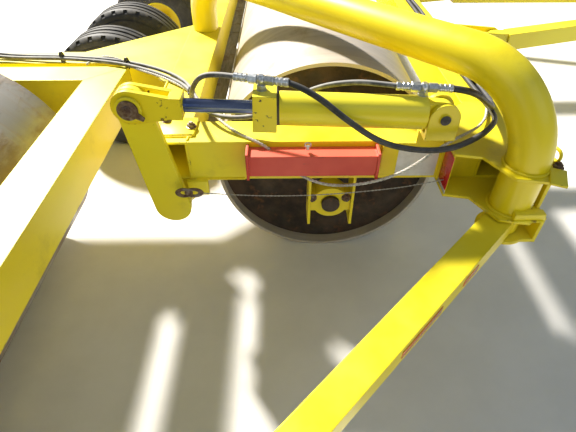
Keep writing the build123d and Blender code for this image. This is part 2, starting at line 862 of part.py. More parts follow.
write("centre_beams", *long_beams(0, end_outer))
write("centre_end_beams", end_beam, left_of(end_beam))
write("outriggers", rigger, left_of(rigger))
write("arch_pipes", pipe, left_of(pipe))
write("corner_brackets", corner, left_of(corner))
write("centre_brackets", centre_hanger, left_of(centre_hanger), centre_base, left_of(centre_base),
      *bearings, *[left_of(bearing) for bearing in bearings])
write("transport_locks", lock, left_of(lock))
write("centre_scrapers", *scrapers(0, 0))
write("tongue_lugs", *[tongue_lug(y) for y in (-brace_y, 0, brace_y)])
write("centre_drum_shell", drum_shell(0, 0))
write("centre_drum_ends", drum_end(0, 0, -1), drum_end(0, 0, 1))
write("rockshaft", rockshaft())

# Writing the tongue
brace = tongue_brace()
write("tongue_beam", tongue_beam())
write("tongue_braces", brace, left_of(brace))
write("tongue_hitch", hitch())
write("jack_tube", jack_tube())
write("jack_leg", jack_leg())

# Writing what comes in a right and a left copy
wheel_tyres, wheel_hubs = centre_wheels()
wing_tyre, wing_hub = wing_wheel()
wing_beams, wing_end_beams = wing_tubes()
write_pair("wheel_tyres", *wheel_tyres)
write_pair("wheel_hubs", wheel_hubs)
write_pair("lift_barrel", on_centre(lift_barrel()))
write_pair("lift_rod", on_centre(lift_rod()))
write_pair("wing_beams", *wing_beams)
write_pair("wing_end_beams", *wing_end_beams)
write_pair("wing_scrapers", *scrapers(wing_axle_x, wing_centre_y))
write_pair("wing_hinge", wing_hinge())
write_pair("wing_brackets", drum_hanger(wing_axle_x, wing_centre_y, -1), drum_hanger(wing_axle_x, wing_centre_y, 1),
           on_wing(base_bracket(-1)), wing_boss(), pole_rest())
write_pair("wing_shell", drum_shell(wing_axle_x, wing_centre_y))
write_pair("wing_drum_ends", drum_end(wing_axle_x, wing_centre_y, -1), drum_end(wing_axle_x, wing_centre_y, 1))
write_pair("wing_arm", wing_arm())
write_pair("wing_tyre", wing_tyre)
write_pair("wing_hub", wing_hub)
write_pair("wing_barrel", on_wing(lift_barrel()))
write_pair("wing_rod", on_wing(lift_rod()))
write_pair("draft_pole", draft_pole())
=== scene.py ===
import math

import bpy
from mathutils import Matrix, Vector


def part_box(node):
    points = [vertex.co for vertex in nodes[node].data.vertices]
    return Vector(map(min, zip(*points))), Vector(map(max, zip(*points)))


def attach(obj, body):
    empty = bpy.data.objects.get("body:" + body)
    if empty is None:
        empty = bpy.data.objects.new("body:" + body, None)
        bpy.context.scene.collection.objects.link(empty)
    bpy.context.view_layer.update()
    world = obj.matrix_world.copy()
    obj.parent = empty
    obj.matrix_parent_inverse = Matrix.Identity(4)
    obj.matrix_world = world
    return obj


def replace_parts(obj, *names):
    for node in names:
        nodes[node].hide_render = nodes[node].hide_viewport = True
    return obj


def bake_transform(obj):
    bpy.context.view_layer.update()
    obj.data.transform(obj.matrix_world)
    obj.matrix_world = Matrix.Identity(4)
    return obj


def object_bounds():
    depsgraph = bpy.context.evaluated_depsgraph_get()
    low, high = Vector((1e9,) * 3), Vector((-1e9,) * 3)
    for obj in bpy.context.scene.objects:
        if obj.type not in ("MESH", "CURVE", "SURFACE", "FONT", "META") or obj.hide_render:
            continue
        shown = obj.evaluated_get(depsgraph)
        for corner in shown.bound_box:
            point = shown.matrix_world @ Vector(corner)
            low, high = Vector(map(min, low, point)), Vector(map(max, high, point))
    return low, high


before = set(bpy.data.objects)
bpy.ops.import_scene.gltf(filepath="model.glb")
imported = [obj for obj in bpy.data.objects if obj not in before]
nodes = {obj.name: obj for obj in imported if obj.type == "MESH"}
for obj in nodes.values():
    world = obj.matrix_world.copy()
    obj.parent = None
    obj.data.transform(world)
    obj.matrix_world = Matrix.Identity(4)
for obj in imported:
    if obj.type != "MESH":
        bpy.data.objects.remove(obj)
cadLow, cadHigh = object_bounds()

sides = {"right": -1, "left": 1}  # the sign of y on each side


# Camera and light

shot = {
    "eye": (-1.443, -3.888, 1.79),
    "pitchDown": 41.9,
    "yawRight": 0.69,
    "lens": 27.06,
    "sensor": 36.0,
}


def setCamera():
    data = bpy.data.cameras.new("camera")
    data.lens = shot["lens"]
    data.sensor_width = shot["sensor"]
    data.clip_end = 80
    camera = bpy.data.objects.new("camera", data)
    bpy.context.scene.collection.objects.link(camera)
    camera.location = shot["eye"]
    camera.rotation_euler = (math.radians(90 - shot["pitchDown"]), 0, math.radians(-shot["yawRight"]))
    bpy.context.scene.camera = camera
    bpy.context.scene.view_settings.view_transform = "Standard"


lights = {
    "key": {"place": (-9, 7, 11), "size": 1.3, "power": 8200, "colour": (1.0, 0.95, 0.86)},
    "fill": {"place": (6, -9, 8), "size": 9, "power": 210, "colour": (0.82, 0.92, 1.0)},
    "front": {"place": (-8, -12, 6), "size": 8, "power": 150, "colour": (0.84, 0.94, 1.0)},
    "air": {"colour": (0.74, 0.86, 0.98), "strength": 0.22},
    "aim": (-1.4, -1.0, 0.6),
}


def setLights():
    for name in ("key", "fill", "front"):
        facts = lights[name]
        data = bpy.data.lights.new(name, "AREA")
        data.size = facts["size"]
        data.energy = facts["power"]
        data.color = facts["colour"]
        lamp = bpy.data.objects.new(name, data)
        bpy.context.scene.collection.objects.link(lamp)
        lamp.location = facts["place"]
        aim = Vector(lights["aim"]) - Vector(facts["place"])
        lamp.rotation_euler = aim.to_track_quat("-Z", "Y").to_euler()
    world = bpy.data.worlds.new("air")
    world.use_nodes = True
    bpy.context.scene.world = world
    background = world.node_tree.nodes["Background"]
    background.inputs["Color"].default_value = (*lights["air"]["colour"], 1)
    background.inputs["Strength"].default_value = lights["air"]["strength"]


setCamera()
setLights()
print("camera and lights set")


# Shader helpers: a Signal is one output socket, and sums on it add Math nodes

class Signal:
    def __init__(self, finish, socket):
        self.finish = finish
        self.socket = socket

    def maths(self, operation, *values):
        settings = {"operation": operation}
        return self.finish.node("ShaderNodeMath", settings, dict(enumerate(values)))

    def __add__(self, other):
        return self.maths("ADD", self, other)

    def __radd__(self, other):
        return self.maths("ADD", other, self)

    def __sub__(self, other):
        return self.maths("SUBTRACT", self, other)

    def __rsub__(self, other):
        return self.maths("SUBTRACT", other, self)

    def __mul__(self, other):
        return self.maths("MULTIPLY", self, other)

    def __rmul__(self, other):
        return self.maths("MULTIPLY", other, self)

    def __truediv__(self, other):
        return self.maths("DIVIDE", self, other)

    def over(self, edge):
        return self.maths("GREATER_THAN", self, edge)


class Finish:
    # A material under construction
    def __init__(self, name):
        self.material = bpy.data.materials.new(name)
        self.material.use_nodes = True
        self.tree = self.material.node_tree
        self.shader = self.tree.nodes["Principled BSDF"]
        self.place = self.node("ShaderNodeTexCoord", {}, {}, "Object")

    def node(self, kind, settings, values, output=0):
        made = self.tree.nodes.new(kind)
        for key, value in settings.items():
            if key == "stops":
                self.setStops(made.color_ramp, value)
            else:
                setattr(made, key, value)
        for key, value in values.items():
            spot = made.inputs[key]
            if isinstance(value, Signal):
                self.tree.links.new(value.socket, spot)
            else:
                spot.default_value = value
        return Signal(self, made.outputs[output])

    def setStops(self, ramp, stops):
        while len(ramp.elements) < len(stops):
            ramp.elements.new(0.5)
        for element, (position, colour) in zip(ramp.elements, stops):
            element.position = position
            element.color = (*colour, 1)

    def noise(self, scale, detail=4, rough=0.5, place=None, stretch=None):
        place = place or self.place
        if stretch:
            place = self.node("ShaderNodeMapping", {}, {"Vector": place, "Scale": stretch})
        values = {"Vector": place, "Scale": scale, "Detail": detail, "Roughness": rough}
        return self.node("ShaderNodeTexNoise", {}, values)

    def ramp(self, signal, low, high):
        values = {"Value": signal, "From Min": low, "From Max": high}
        return self.node("ShaderNodeMapRange", {"interpolation_type": "SMOOTHSTEP"}, values)

    def mix(self, factor, first, second):
        # Sockets 0, 6 and 7 are the factor and the two colours of a colour Mix
        first = first if isinstance(first, Signal) else (*first, 1)
        second = second if isinstance(second, Signal) else (*second, 1)
        return self.node("ShaderNodeMix", {"data_type": "RGBA"}, {0: factor, 6: first, 7: second}, 2)

    def axis(self, index):
        return self.node("ShaderNodeSeparateXYZ", {}, {0: self.place}, index)

    def upward(self):
        facing = self.node("ShaderNodeNewGeometry", {}, {}, "Normal")
        return self.node("ShaderNodeSeparateXYZ", {}, {0: facing}, 2)

    def most(self, first, second):
        settings = {"operation": "MAXIMUM", "use_clamp": True}
        return self.node("ShaderNodeMath", settings, {0: first, 1: second})

    def edges(self, radius):
        # Near 1 where a rounded edge would turn away from the flat face
        rounded = self.node("ShaderNodeBevel", {"samples": 4}, {"Radius": radius})
        facing = self.node("ShaderNodeNewGeometry", {}, {}, "Normal")
        settings = {"operation": "DOT_PRODUCT"}
        same = self.node("ShaderNodeVectorMath", settings, {0: rounded, 1: facing}, "Value")
        return rounded, self.ramp(1 - same, 0.01, 0.12)

    def relief(self, height, distance, strength=1.0, normal=None):
        values = {"Height": height, "Distance": distance, "Strength": strength}
        if normal:
            values["Normal"] = normal
        return self.node("ShaderNodeBump", {}, values)

    def paint(self, **parts):
        names = {"colour": "Base Color", "rough": "Roughness", "metal": "Metallic", "normal": "Normal",
                 "coat": "Coat Weight", "specular": "Specular IOR Level"}
        for key, value in parts.items():
            spot = self.shader.inputs[names[key]]
            if isinstance(value, Signal):
                self.tree.links.new(value.socket, spot)
            elif key == "colour":
                spot.default_value = (*value, 1)
            else:
                spot.default_value = value
        return self.material


# Finishes

yellowTones = {
    "fresh": (0.83, 0.66, 0.004),
    "faded": (0.89, 0.77, 0.020),
    # a brighter yellow for top faces, partly dust and partly painted highlight
    "chalkAndLitTop": (0.94, 0.86, 0.09),
    "grime": (0.32, 0.27, 0.03),
    "rust": (0.085, 0.032, 0.012),
    "primer": (0.05, 0.04, 0.03),
}
# dust scales the brighter top-face yellow, which is part dust and part painted highlight
yellowWear = {"chips": 0.60, "dust": 0.5}


def yellowBase(made, scale):
    tone = made.ramp(made.noise(scale, 3), 0.35, 0.7)
    return made.mix(tone, yellowTones["fresh"], yellowTones["faded"])


def yellowPaint():
    made = Finish("yellowPaint")
    chips = yellowWear["chips"]
    colour = yellowBase(made, 1.3)
    # Upward faces turn a brighter yellow in noisy patches: partly settled dust, partly a painted highlight
    # as if lit from above
    top = made.ramp(made.upward(), 0.2, 0.95)
    chalkAndLitTop = top * made.ramp(made.noise(3.1, 5, 0.6), 0.25, 0.75) * yellowWear["dust"]
    colour = made.mix(chalkAndLitTop, colour, yellowTones["chalkAndLitTop"])
    grime = made.ramp(made.noise(5.0, 6, 0.7), 0.52, 0.8) * 0.35
    colour = made.mix(grime, colour, yellowTones["grime"])
    rounded, edge = made.edges(0.007)
    spots = made.ramp(made.noise(38.0, 5, 0.65), chips + 0.09, chips + 0.13)
    patches = made.ramp(made.noise(4.4, 2), 0.48, 0.62)
    worn = edge * made.ramp(made.noise(16.0, 4, 0.7), chips - 0.03, chips + 0.05)
    bare = made.most(spots * patches, worn)
    metalTone = made.mix(made.noise(60.0, 3), yellowTones["rust"], yellowTones["primer"])
    colour = made.mix(bare, colour, metalTone)
    height = made.noise(220.0, 2) * 0.12 - bare
    normal = made.relief(height, 0.0008, 0.6, rounded)
    rough = 0.36 + 0.25 * chalkAndLitTop + 0.35 * bare + 0.12 * grime
    return made.paint(colour=colour, rough=rough, normal=normal, coat=0.12)


def barrelPaint(name, axisIndex, seam, toward):
    # Chips gather on the gland block, which lies past the seam
    made = Finish(name)
    colour = yellowBase(made, 1.7)
    # Painted highlight: upward faces of the barrel are lightened towards the brighter top-face yellow, as if
    # lit from above
    top = made.ramp(made.upward(), 0.2, 0.95) * 0.45
    colour = made.mix(top, colour, yellowTones["chalkAndLitTop"])
    rounded, edge = made.edges(0.004)
    past = (made.axis(axisIndex) - seam) * toward
    block = past.over(0.0)
    spots = made.ramp(made.noise(52.0, 3, 0.5), 0.655, 0.675) * block
    few = made.ramp(made.noise(30.0, 4, 0.6), 0.70, 0.72)
    line = made.node("ShaderNodeMath", {"operation": "COMPARE"}, {0: past, 1: -0.004, 2: 0.0045})
    worn = edge * made.ramp(made.noise(16.0, 4, 0.7), 0.50, 0.60)
    bare = made.node("ShaderNodeMath", {"operation": "MAXIMUM"}, {0: spots + few, 1: worn + line * 0.9})
    bare = made.ramp(bare, 0.0, 1.0)
    colour = made.mix(bare, colour, yellowTones["primer"])
    normal = made.relief(0 - bare, 0.0008, 0.6, rounded)
    return made.paint(colour=colour, rough=0.34 + 0.35 * bare, normal=normal, coat=0.12)


drums = {
    "centre": {"x": -1.235, "bluish": 0.08, "dirty": 0.25},
    "wing": {"x": -2.998, "bluish": 0.62, "dirty": 0.95},
    "axisHeight": 0.5335,
    "unrollRadius": 0.53,
}


def drumSteel(section):
    # Rolled plate: tones run round the drum, and earth clings in patches
    made = Finish(section + "DrumSteel")
    dirty = drums[section]["dirty"]
    across = made.axis(0) - drums[section]["x"]
    height = made.axis(2) - drums["axisHeight"]
    turn = height.maths("ARCTAN2", height, across)
    around = turn * drums["unrollRadius"]
    unrolled = made.node("ShaderNodeCombineXYZ", {}, {0: around, 1: made.axis(1), 2: 0.0})
    plate = made.noise(2.2, 5, 0.6, unrolled, (0.5, 2.2, 1))
    colour = made.mix(made.ramp(plate, 0.3, 0.7), (0.47, 0.42, 0.36), (0.66, 0.60, 0.53))
    colour = made.mix(drums[section]["bluish"], colour, (0.27, 0.29, 0.33))
    streak = made.ramp(made.noise(9.0, 6, 0.7, unrolled, (0.12, 3.2, 1)), 0.5, 0.68)
    colour = made.mix(streak * 0.45, colour, (0.36, 0.28, 0.21))
    rust = made.ramp(made.noise(14.0, 6, 0.7, unrolled), 0.62, 0.72)
    colour = made.mix(rust * 0.5, colour, (0.22, 0.10, 0.05))
    clods = made.noise(3.4, 6, 0.66, unrolled, (1.0, 0.5, 1))
    earth = made.ramp(clods, 0.60 - dirty * 0.2, 0.74 - dirty * 0.16)
    colour = made.mix(earth * (0.35 + dirty * 0.5), colour, (0.20, 0.13, 0.075))
    scratch = made.noise(30.0, 5, 0.7, unrolled, (0.06, 8.0, 1))
    normal = made.relief(scratch * 0.5 + plate + earth * dirty * 2.0, 0.0016, 0.5)
    rough = 0.42 + 0.28 * earth + 0.14 * rust
    metal = 0.30 - 0.25 * earth
    return made.paint(colour=colour, rough=rough, metal=metal, normal=normal)


def shadedDrumEndSteel():
    made = Finish("shadedDrumEndSteel")
    mottled = made.noise(7.0, 6, 0.7)
    # The near-black base tones are painted shade, for end plates recessed in the drum's shadow; the rust and
    # dust patches on them are real
    colour = made.mix(made.ramp(mottled, 0.35, 0.65), (0.030, 0.022, 0.018), (0.085, 0.052, 0.034))
    rust = made.ramp(made.noise(19.0, 5, 0.6), 0.56, 0.70)
    colour = made.mix(rust * 0.7, colour, (0.16, 0.070, 0.034))
    dust = made.ramp(made.noise(3.0, 4, 0.6), 0.45, 0.8) * 0.35
    colour = made.mix(dust, colour, (0.20, 0.17, 0.14))
    return made.paint(colour=colour, rough=0.72, metal=0.25, normal=made.relief(mottled, 0.002, 0.5))


def scraperSteel():
    made = Finish("scraperSteel")
    grain = made.noise(24.0, 5, 0.7, stretch=(3.0, 0.4, 3.0))
    colour = made.mix(made.ramp(grain, 0.3, 0.7), (0.16, 0.15, 0.13), (0.30, 0.27, 0.23))
    rust = made.ramp(made.noise(8.0, 6, 0.7), 0.5, 0.66)
    colour = made.mix(rust * 0.7, colour, (0.15, 0.07, 0.035))
    normal = made.relief(grain, 0.001, 0.5)
    return made.paint(colour=colour, rough=0.55 + 0.2 * rust, metal=0.45, normal=normal)


def tyreRubber():
    made = Finish("tyreRubber")
    worn = made.noise(5.0, 6, 0.65)
    colour = made.mix(made.ramp(worn, 0.35, 0.7), (0.012, 0.012, 0.013), (0.035, 0.034, 0.033))
    dust = made.ramp(made.noise(11.0, 6, 0.72), 0.42, 0.72) * 0.5
    colour = made.mix(dust, colour, (0.13, 0.115, 0.095))
    height = made.noise(90.0, 3) * 0.3 + worn
    return made.paint(colour=colour, rough=0.62 + 0.25 * dust, normal=made.relief(height, 0.0015, 0.5))


def redPaint():
    made = Finish("redPaint")
    tone = made.noise(3.0, 4, 0.6)
    colour = made.mix(made.ramp(tone, 0.3, 0.7), (0.62, 0.042, 0.022), (0.74, 0.085, 0.045))
    # Painted highlight: upward faces of the lock are a lighter red, as if lit from above
    top = made.ramp(made.upward(), 0.3, 0.95)
    colour = made.mix(top * 0.45, colour, (0.80, 0.22, 0.15))
    rounded, edge = made.edges(0.006)
    worn = edge * made.ramp(made.noise(22.0, 5, 0.7), 0.55, 0.64)
    scrapes = made.ramp(made.noise(17.0, 6, 0.7, stretch=(0.35, 2.0, 2.5)), 0.66, 0.71)
    bare = made.most(scrapes, worn)
    colour = made.mix(bare * 0.85, colour, (0.14, 0.05, 0.03))
    normal = made.relief(made.noise(150.0, 2) * 0.2 - bare, 0.0008, 0.6, rounded)
    return made.paint(colour=colour, rough=0.40 + 0.3 * bare, normal=normal, coat=0.1)


def rodChrome(name, axisIndex, forkEnd, toward):
    # The rod is plated, and the clevis past forkEnd is painted like the lever
    made = Finish(name)
    # The plated rod's colour is a painted reflection of blue sky, from dark navy to pale blue; the streaky
    # noise varies that painted reflection, and pits are real
    film = made.noise(6.0, 4, 0.6, stretch=(1.0, 4.0, 4.0))
    platedSkyReflection = made.mix(made.ramp(film, 0.3, 0.75), (0.10, 0.14, 0.30), (0.26, 0.30, 0.44))
    pits = made.ramp(made.noise(70.0, 4, 0.6), 0.66, 0.72)
    platedSkyReflection = made.mix(pits * 0.6, platedSkyReflection, (0.12, 0.10, 0.09))
    painted = yellowBase(made, 1.7)
    rounded, edge = made.edges(0.006)
    chips = made.ramp(made.noise(24.0, 5, 0.65), 0.60, 0.66)
    worn = edge * made.ramp(made.noise(16.0, 4, 0.7), 0.55, 0.64)
    bare = made.most(chips, worn)
    painted = made.mix(bare, painted, yellowTones["rust"])
    away = (made.axis(axisIndex) - forkEnd) * toward
    fork = away.over(0.0)
    colour = made.mix(fork, platedSkyReflection, painted)
    rough = 0.17 + 0.05 * film + fork * (0.22 + 0.3 * bare)
    metal = 1 - fork
    return made.paint(colour=colour, rough=rough, metal=metal, normal=rounded)


def zincPlate():
    made = Finish("zincPlate")
    spangle = made.noise(85.0, 3, 0.6)
    colour = made.mix(made.ramp(spangle, 0.3, 0.7), (0.42, 0.45, 0.48), (0.66, 0.68, 0.70))
    dull = made.ramp(made.noise(30.0, 5, 0.7), 0.55, 0.7)
    colour = made.mix(dull * 0.5, colour, (0.24, 0.20, 0.16))
    normal = made.relief(spangle, 0.0004, 0.4)
    return made.paint(colour=colour, rough=0.30 + 0.3 * dull, metal=0.85, normal=normal)


def rustyBolt():
    made = Finish("rustyBolt")
    crust = made.noise(60.0, 6, 0.7)
    colour = made.mix(made.ramp(crust, 0.35, 0.65), (0.070, 0.030, 0.016), (0.20, 0.13, 0.085))
    shine = made.ramp(made.noise(26.0, 3), 0.52, 0.66)
    colour = made.mix(shine * 0.6, colour, (0.42, 0.38, 0.34))
    rough = 0.75 - 0.3 * shine
    return made.paint(colour=colour, rough=rough, metal=shine * 0.8, normal=made.relief(crust, 0.0012, 0.7))


def weldMetal():
    made = Finish("weldMetal")
    crust = made.noise(45.0, 5, 0.6)
    colour = yellowBase(made, 2.2)
    rust = made.ramp(made.noise(9.0, 6, 0.7), 0.58, 0.68)
    colour = made.mix(rust * 0.85, colour, (0.18, 0.085, 0.04))
    return made.paint(colour=colour, rough=0.5 + 0.25 * rust, normal=made.relief(crust, 0.001, 0.5))


def hoseRubber(name="hoseRubber", base=(0.014, 0.015, 0.018), dusty=(0.15, 0.145, 0.14), share=0.4):
    made = Finish(name)
    film = made.noise(14.0, 6, 0.7)
    colour = made.mix(made.ramp(film, 0.4, 0.72) * share, base, dusty)
    top = made.ramp(made.upward(), 0.4, 1.0) * share
    colour = made.mix(top, colour, dusty)
    weave = made.noise(190.0, 2)
    return made.paint(colour=colour, rough=0.48 + 0.3 * top, normal=made.relief(weave, 0.0004, 0.5))


def ropeFibre():
    made = Finish("ropeFibre")
    strands = made.noise(120.0, 3, 0.6)
    colour = made.mix(made.ramp(strands, 0.3, 0.7), (0.42, 0.39, 0.33), (0.74, 0.72, 0.66))
    soil = made.ramp(made.noise(10.0, 5, 0.7), 0.5, 0.72)
    colour = made.mix(soil * 0.55, colour, (0.24, 0.20, 0.15))
    return made.paint(colour=colour, rough=0.85, normal=made.relief(strands, 0.0008, 0.8))


def wireSteel():
    made = Finish("wireSteel")
    grain = made.noise(140.0, 3, 0.6)
    colour = made.mix(made.ramp(grain, 0.3, 0.7), (0.30, 0.29, 0.28), (0.56, 0.55, 0.53))
    return made.paint(colour=colour, rough=0.38, metal=0.8, normal=made.relief(grain, 0.0004, 0.5))


def blackPlastic():
    made = Finish("blackPlastic")
    film = made.noise(40.0, 4, 0.6)
    colour = made.mix(made.ramp(film, 0.4, 0.75), (0.012, 0.012, 0.013), (0.07, 0.065, 0.06))
    return made.paint(colour=colour, rough=0.5, normal=made.relief(film, 0.0005, 0.4))


def plateWhite():
    made = Finish("plateWhite")
    soil = made.noise(21.0, 5, 0.7)
    colour = made.mix(made.ramp(soil, 0.4, 0.8) * 0.5, (0.72, 0.72, 0.70), (0.46, 0.43, 0.37))
    normal = made.relief(soil, 0.0003, 0.3)
    return made.paint(colour=colour, rough=0.35 + 0.2 * soil, normal=normal, coat=0.2)


def reflector(name, deep, bright):
    made = Finish(name)
    values = {"Vector": made.place, "Scale": 260.0}
    cells = made.node("ShaderNodeTexVoronoi", {"distance": "CHEBYCHEV"}, values)
    colour = made.mix(made.ramp(cells, 0.1, 0.5), bright, deep)
    soil = made.ramp(made.noise(18.0, 5, 0.7), 0.5, 0.75)
    colour = made.mix(soil * 0.4, colour, (0.16, 0.11, 0.07))
    normal = made.relief(cells, 0.0003, 0.5)
    return made.paint(colour=colour, rough=0.22 + 0.3 * soil, normal=normal, coat=0.4)


def jackPaint(name, base, rust):
    made = Finish(name)
    film = made.noise(9.0, 5, 0.65)
    colour = made.mix(made.ramp(film, 0.35, 0.7), base, tuple(0.6 * tone for tone in base))
    spots = made.ramp(made.noise(26.0, 6, 0.7), 0.58, 0.66)
    colour = made.mix(spots * rust, colour, (0.15, 0.07, 0.035))
    normal = made.relief(film, 0.0008, 0.4)
    return made.paint(colour=colour, rough=0.42 + 0.3 * spots, metal=0.3, normal=normal)


yellow = yellowPaint()
centreDrum = drumSteel("centre")
wingDrum = drumSteel("wing")
shadedDrumEnd = shadedDrumEndSteel()
scraperFinish = scraperSteel()
rubber = tyreRubber()
redFinish = redPaint()
zinc = zincPlate()
boltFinish = rustyBolt()
weldFinish = weldMetal()
hoseBlack = hoseRubber()
hoseDusty = hoseRubber("dustyHose", (0.05, 0.05, 0.05), (0.34, 0.33, 0.31), 0.75)
fibre = ropeFibre()
wireFinish = wireSteel()
plastic = blackPlastic()
plateFinish = plateWhite()
redLens = reflector("redReflector", (0.50, 0.010, 0.010), (0.75, 0.05, 0.04))
whiteLens = reflector("whiteReflector", (0.45, 0.45, 0.44), (0.70, 0.70, 0.68))
amberLens = reflector("amberReflector", (0.62, 0.16, 0.010), (0.85, 0.30, 0.03))
jackFinish = jackPaint("jackPaint", (0.055, 0.055, 0.058), 0.6)
legFinish = jackPaint("jackSteel", (0.32, 0.31, 0.29), 0.8)

nodeFinishes = {
    "centre_drum_shell": centreDrum, "centre_drum_ends": shadedDrumEnd, "centre_scrapers": scraperFinish,
    "transport_locks": redFinish, "jack_tube": jackFinish, "jack_leg": legFinish,
}
pairFinishes = {
    "wing_shell": wingDrum, "wing_drum_ends": shadedDrumEnd, "wing_scrapers": scraperFinish,
    "wheel_tyres": rubber, "wing_tyre": rubber,
}
barrelSeams = {
    "lift_barrel": {"right": (0, -1.465, -1), "left": (0, -1.465, -1)},
    "wing_barrel": {"right": (1, -4.556, -1), "left": (1, 4.556, 1)},
}


def dressNodes():
    for name, node in nodes.items():
        node.data.materials.clear()
        side, _, rest = name.partition("_")
        if side in sides and rest in pairFinishes:
            node.data.materials.append(pairFinishes[rest])
        elif side in sides and rest in barrelSeams:
            node.data.materials.append(barrelPaint(name + "Paint", *barrelSeams[rest][side]))
        elif side in sides and rest in ("lift_rod", "wing_rod"):
            node.data.materials.append(rodFinish(name, rest))
        else:
            node.data.materials.append(nodeFinishes.get(name, yellow))


forkLength = 0.245  # the painted clevis at the pin's end of each rod


def rodFinish(name, kind):
    low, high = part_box(name)
    if kind == "lift_rod":
        return rodChrome(name + "Finish", 0, low.x + forkLength, -1)
    if name.startswith("right"):
        return rodChrome(name + "Finish", 1, high.y - forkLength, 1)
    return rodChrome(name + "Finish", 1, low.y + forkLength, -1)


dressNodes()
print("frame dressed")


# Modelling helpers

def pickOnly(*pieces):
    bpy.ops.object.select_all(action="DESELECT")
    for piece in pieces:
        piece.select_set(True)
    if pieces:
        bpy.context.view_layer.objects.active = pieces[0]


def chooseFaces(piece, wanted):
    # Ends in edit mode with only the wanted faces selected
    pickOnly(piece)
    bpy.ops.object.mode_set(mode="EDIT")
    bpy.ops.mesh.select_mode(type="FACE")
    bpy.ops.mesh.select_all(action="DESELECT")
    bpy.ops.object.mode_set(mode="OBJECT")
    for face in piece.data.polygons:
        face.select = bool(wanted(face))
    bpy.ops.object.mode_set(mode="EDIT")


def addBlock(centre, size, bevel=0.003, turn=(0, 0, 0)):
    pickOnly()
    bpy.ops.mesh.primitive_cube_add(size=1, location=centre, rotation=turn, scale=size)
    piece = bpy.context.object
    bpy.ops.object.transform_apply(location=True, rotation=True, scale=True)
    bpy.ops.object.mode_set(mode="EDIT")
    bpy.ops.mesh.bevel(offset=bevel, segments=2, affect="EDGES")
    bpy.ops.object.mode_set(mode="OBJECT")
    return piece


def addTurned(profile, corners=24, solid=True):
    # A lathe about Z at the origin, through (height, radius) pairs
    pickOnly()
    height, radius = profile[0]
    fill = "NGON" if solid else "NOTHING"
    place = (0, 0, height)
    bpy.ops.mesh.primitive_circle_add(vertices=corners, radius=radius, fill_type=fill, location=place)
    piece = bpy.context.object
    bpy.ops.object.transform_apply(location=True)
    bpy.ops.object.mode_set(mode="EDIT")
    bpy.ops.mesh.select_mode(type="VERT")
    bpy.ops.mesh.select_all(action="SELECT")
    for nextHeight, nextRadius in profile[1:]:
        lift = {"value": (0, 0, nextHeight - height)}
        bpy.ops.mesh.extrude_region_move(TRANSFORM_OT_translate=lift)
        ratio = nextRadius / radius
        bpy.ops.transform.resize(value=(ratio, ratio, 1), center_override=(0, 0, nextHeight))
        height, radius = nextHeight, nextRadius
    bpy.ops.mesh.select_all(action="SELECT")
    bpy.ops.mesh.remove_doubles(threshold=1e-5)
    bpy.ops.mesh.normals_make_consistent(inside=False)
    bpy.ops.object.mode_set(mode="OBJECT")
    return piece


def settle(piece, place, along=(0, 0, 1), turn=0.0):
    toward = Vector(along).to_track_quat("Z", "Y").to_matrix().to_4x4()
    spun = Matrix.Rotation(turn, 4, "Z")
    piece.data.transform(Matrix.Translation(place) @ toward @ spun)
    return piece


def placeCopy(pattern, place, along=(0, 0, 1), turn=0.0):
    copied = pattern.copy()
    copied.data = pattern.data.copy()
    bpy.context.scene.collection.objects.link(copied)
    return settle(copied, place, along, turn)


def between(start, end):
    return (Vector(end) - Vector(start)).normalized()


def addRod(start, end, radius, corners=20, bevel=0.002):
    length = (Vector(end) - Vector(start)).length
    low = [(0, radius - bevel), (bevel, radius)]
    high = [(length - bevel, radius), (length, radius - bevel)]
    return settle(addTurned(low + high, corners), start, between(start, end))


def joinAs(name, pieces, smooth=32):
    pickOnly(*pieces)
    if len(pieces) > 1:
        bpy.ops.object.join()
    piece = bpy.context.object
    piece.name = name
    bpy.ops.object.shade_smooth_by_angle(angle=math.radians(smooth))
    return piece


def hand(piece, body, finish):
    # Finish and body of one done piece
    piece.data.materials.clear()
    piece.data.materials.append(finish)
    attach(piece, body)
    return piece


def mirrorOf(piece, name):
    other = piece.copy()
    other.data = piece.data.copy()
    bpy.context.scene.collection.objects.link(other)
    other.data.transform(Matrix.Scale(-1, 4, (0, 1, 0)))
    other.data.flip_normals()
    other.name = name
    return other


def handBoth(name, pieces, body, finish, smooth=32):
    # The photograph's side is the right one, and the left is its mirror image
    piece = joinAs("right_" + name, pieces, smooth)
    other = mirrorOf(piece, "left_" + name)
    hand(piece, body, finish)
    hand(other, body.replace("right_", "left_"), finish)


# Hose fittings: every hose ends in its own branch of a tee

fitting = {"nut": 0.0175, "neck": 0.0105, "crimp": 0.0150, "ball": 0.0170, "stemNut": 0.0175, "turn": 0.3}


def addBranch(name, place, way, body):
    # From the tee's middle: a neck, a hex nut, then the crimped sleeve on the hose
    nut = fitting["nut"]
    crimp = fitting["crimp"]
    groove = crimp - 0.0015
    nutParts = addTurned([(0.014, nut - 0.002), (0.016, nut), (0.044, nut), (0.046, nut - 0.002)], 6)
    neck = addTurned([(0.0, fitting["neck"]), (0.054, fitting["neck"])], 16)
    ridges = [(0.050, crimp - 0.003), (0.052, crimp), (0.058, crimp), (0.060, groove),
              (0.066, groove), (0.068, crimp), (0.074, crimp), (0.076, groove),
              (0.082, groove), (0.084, crimp), (0.096, crimp), (0.098, crimp - 0.002)]
    sleeve = addTurned(ridges, 16)
    piece = settle(joinAs(name, [nutParts, neck, sleeve]), place, way, fitting["turn"])
    return hand(piece, body, zinc)


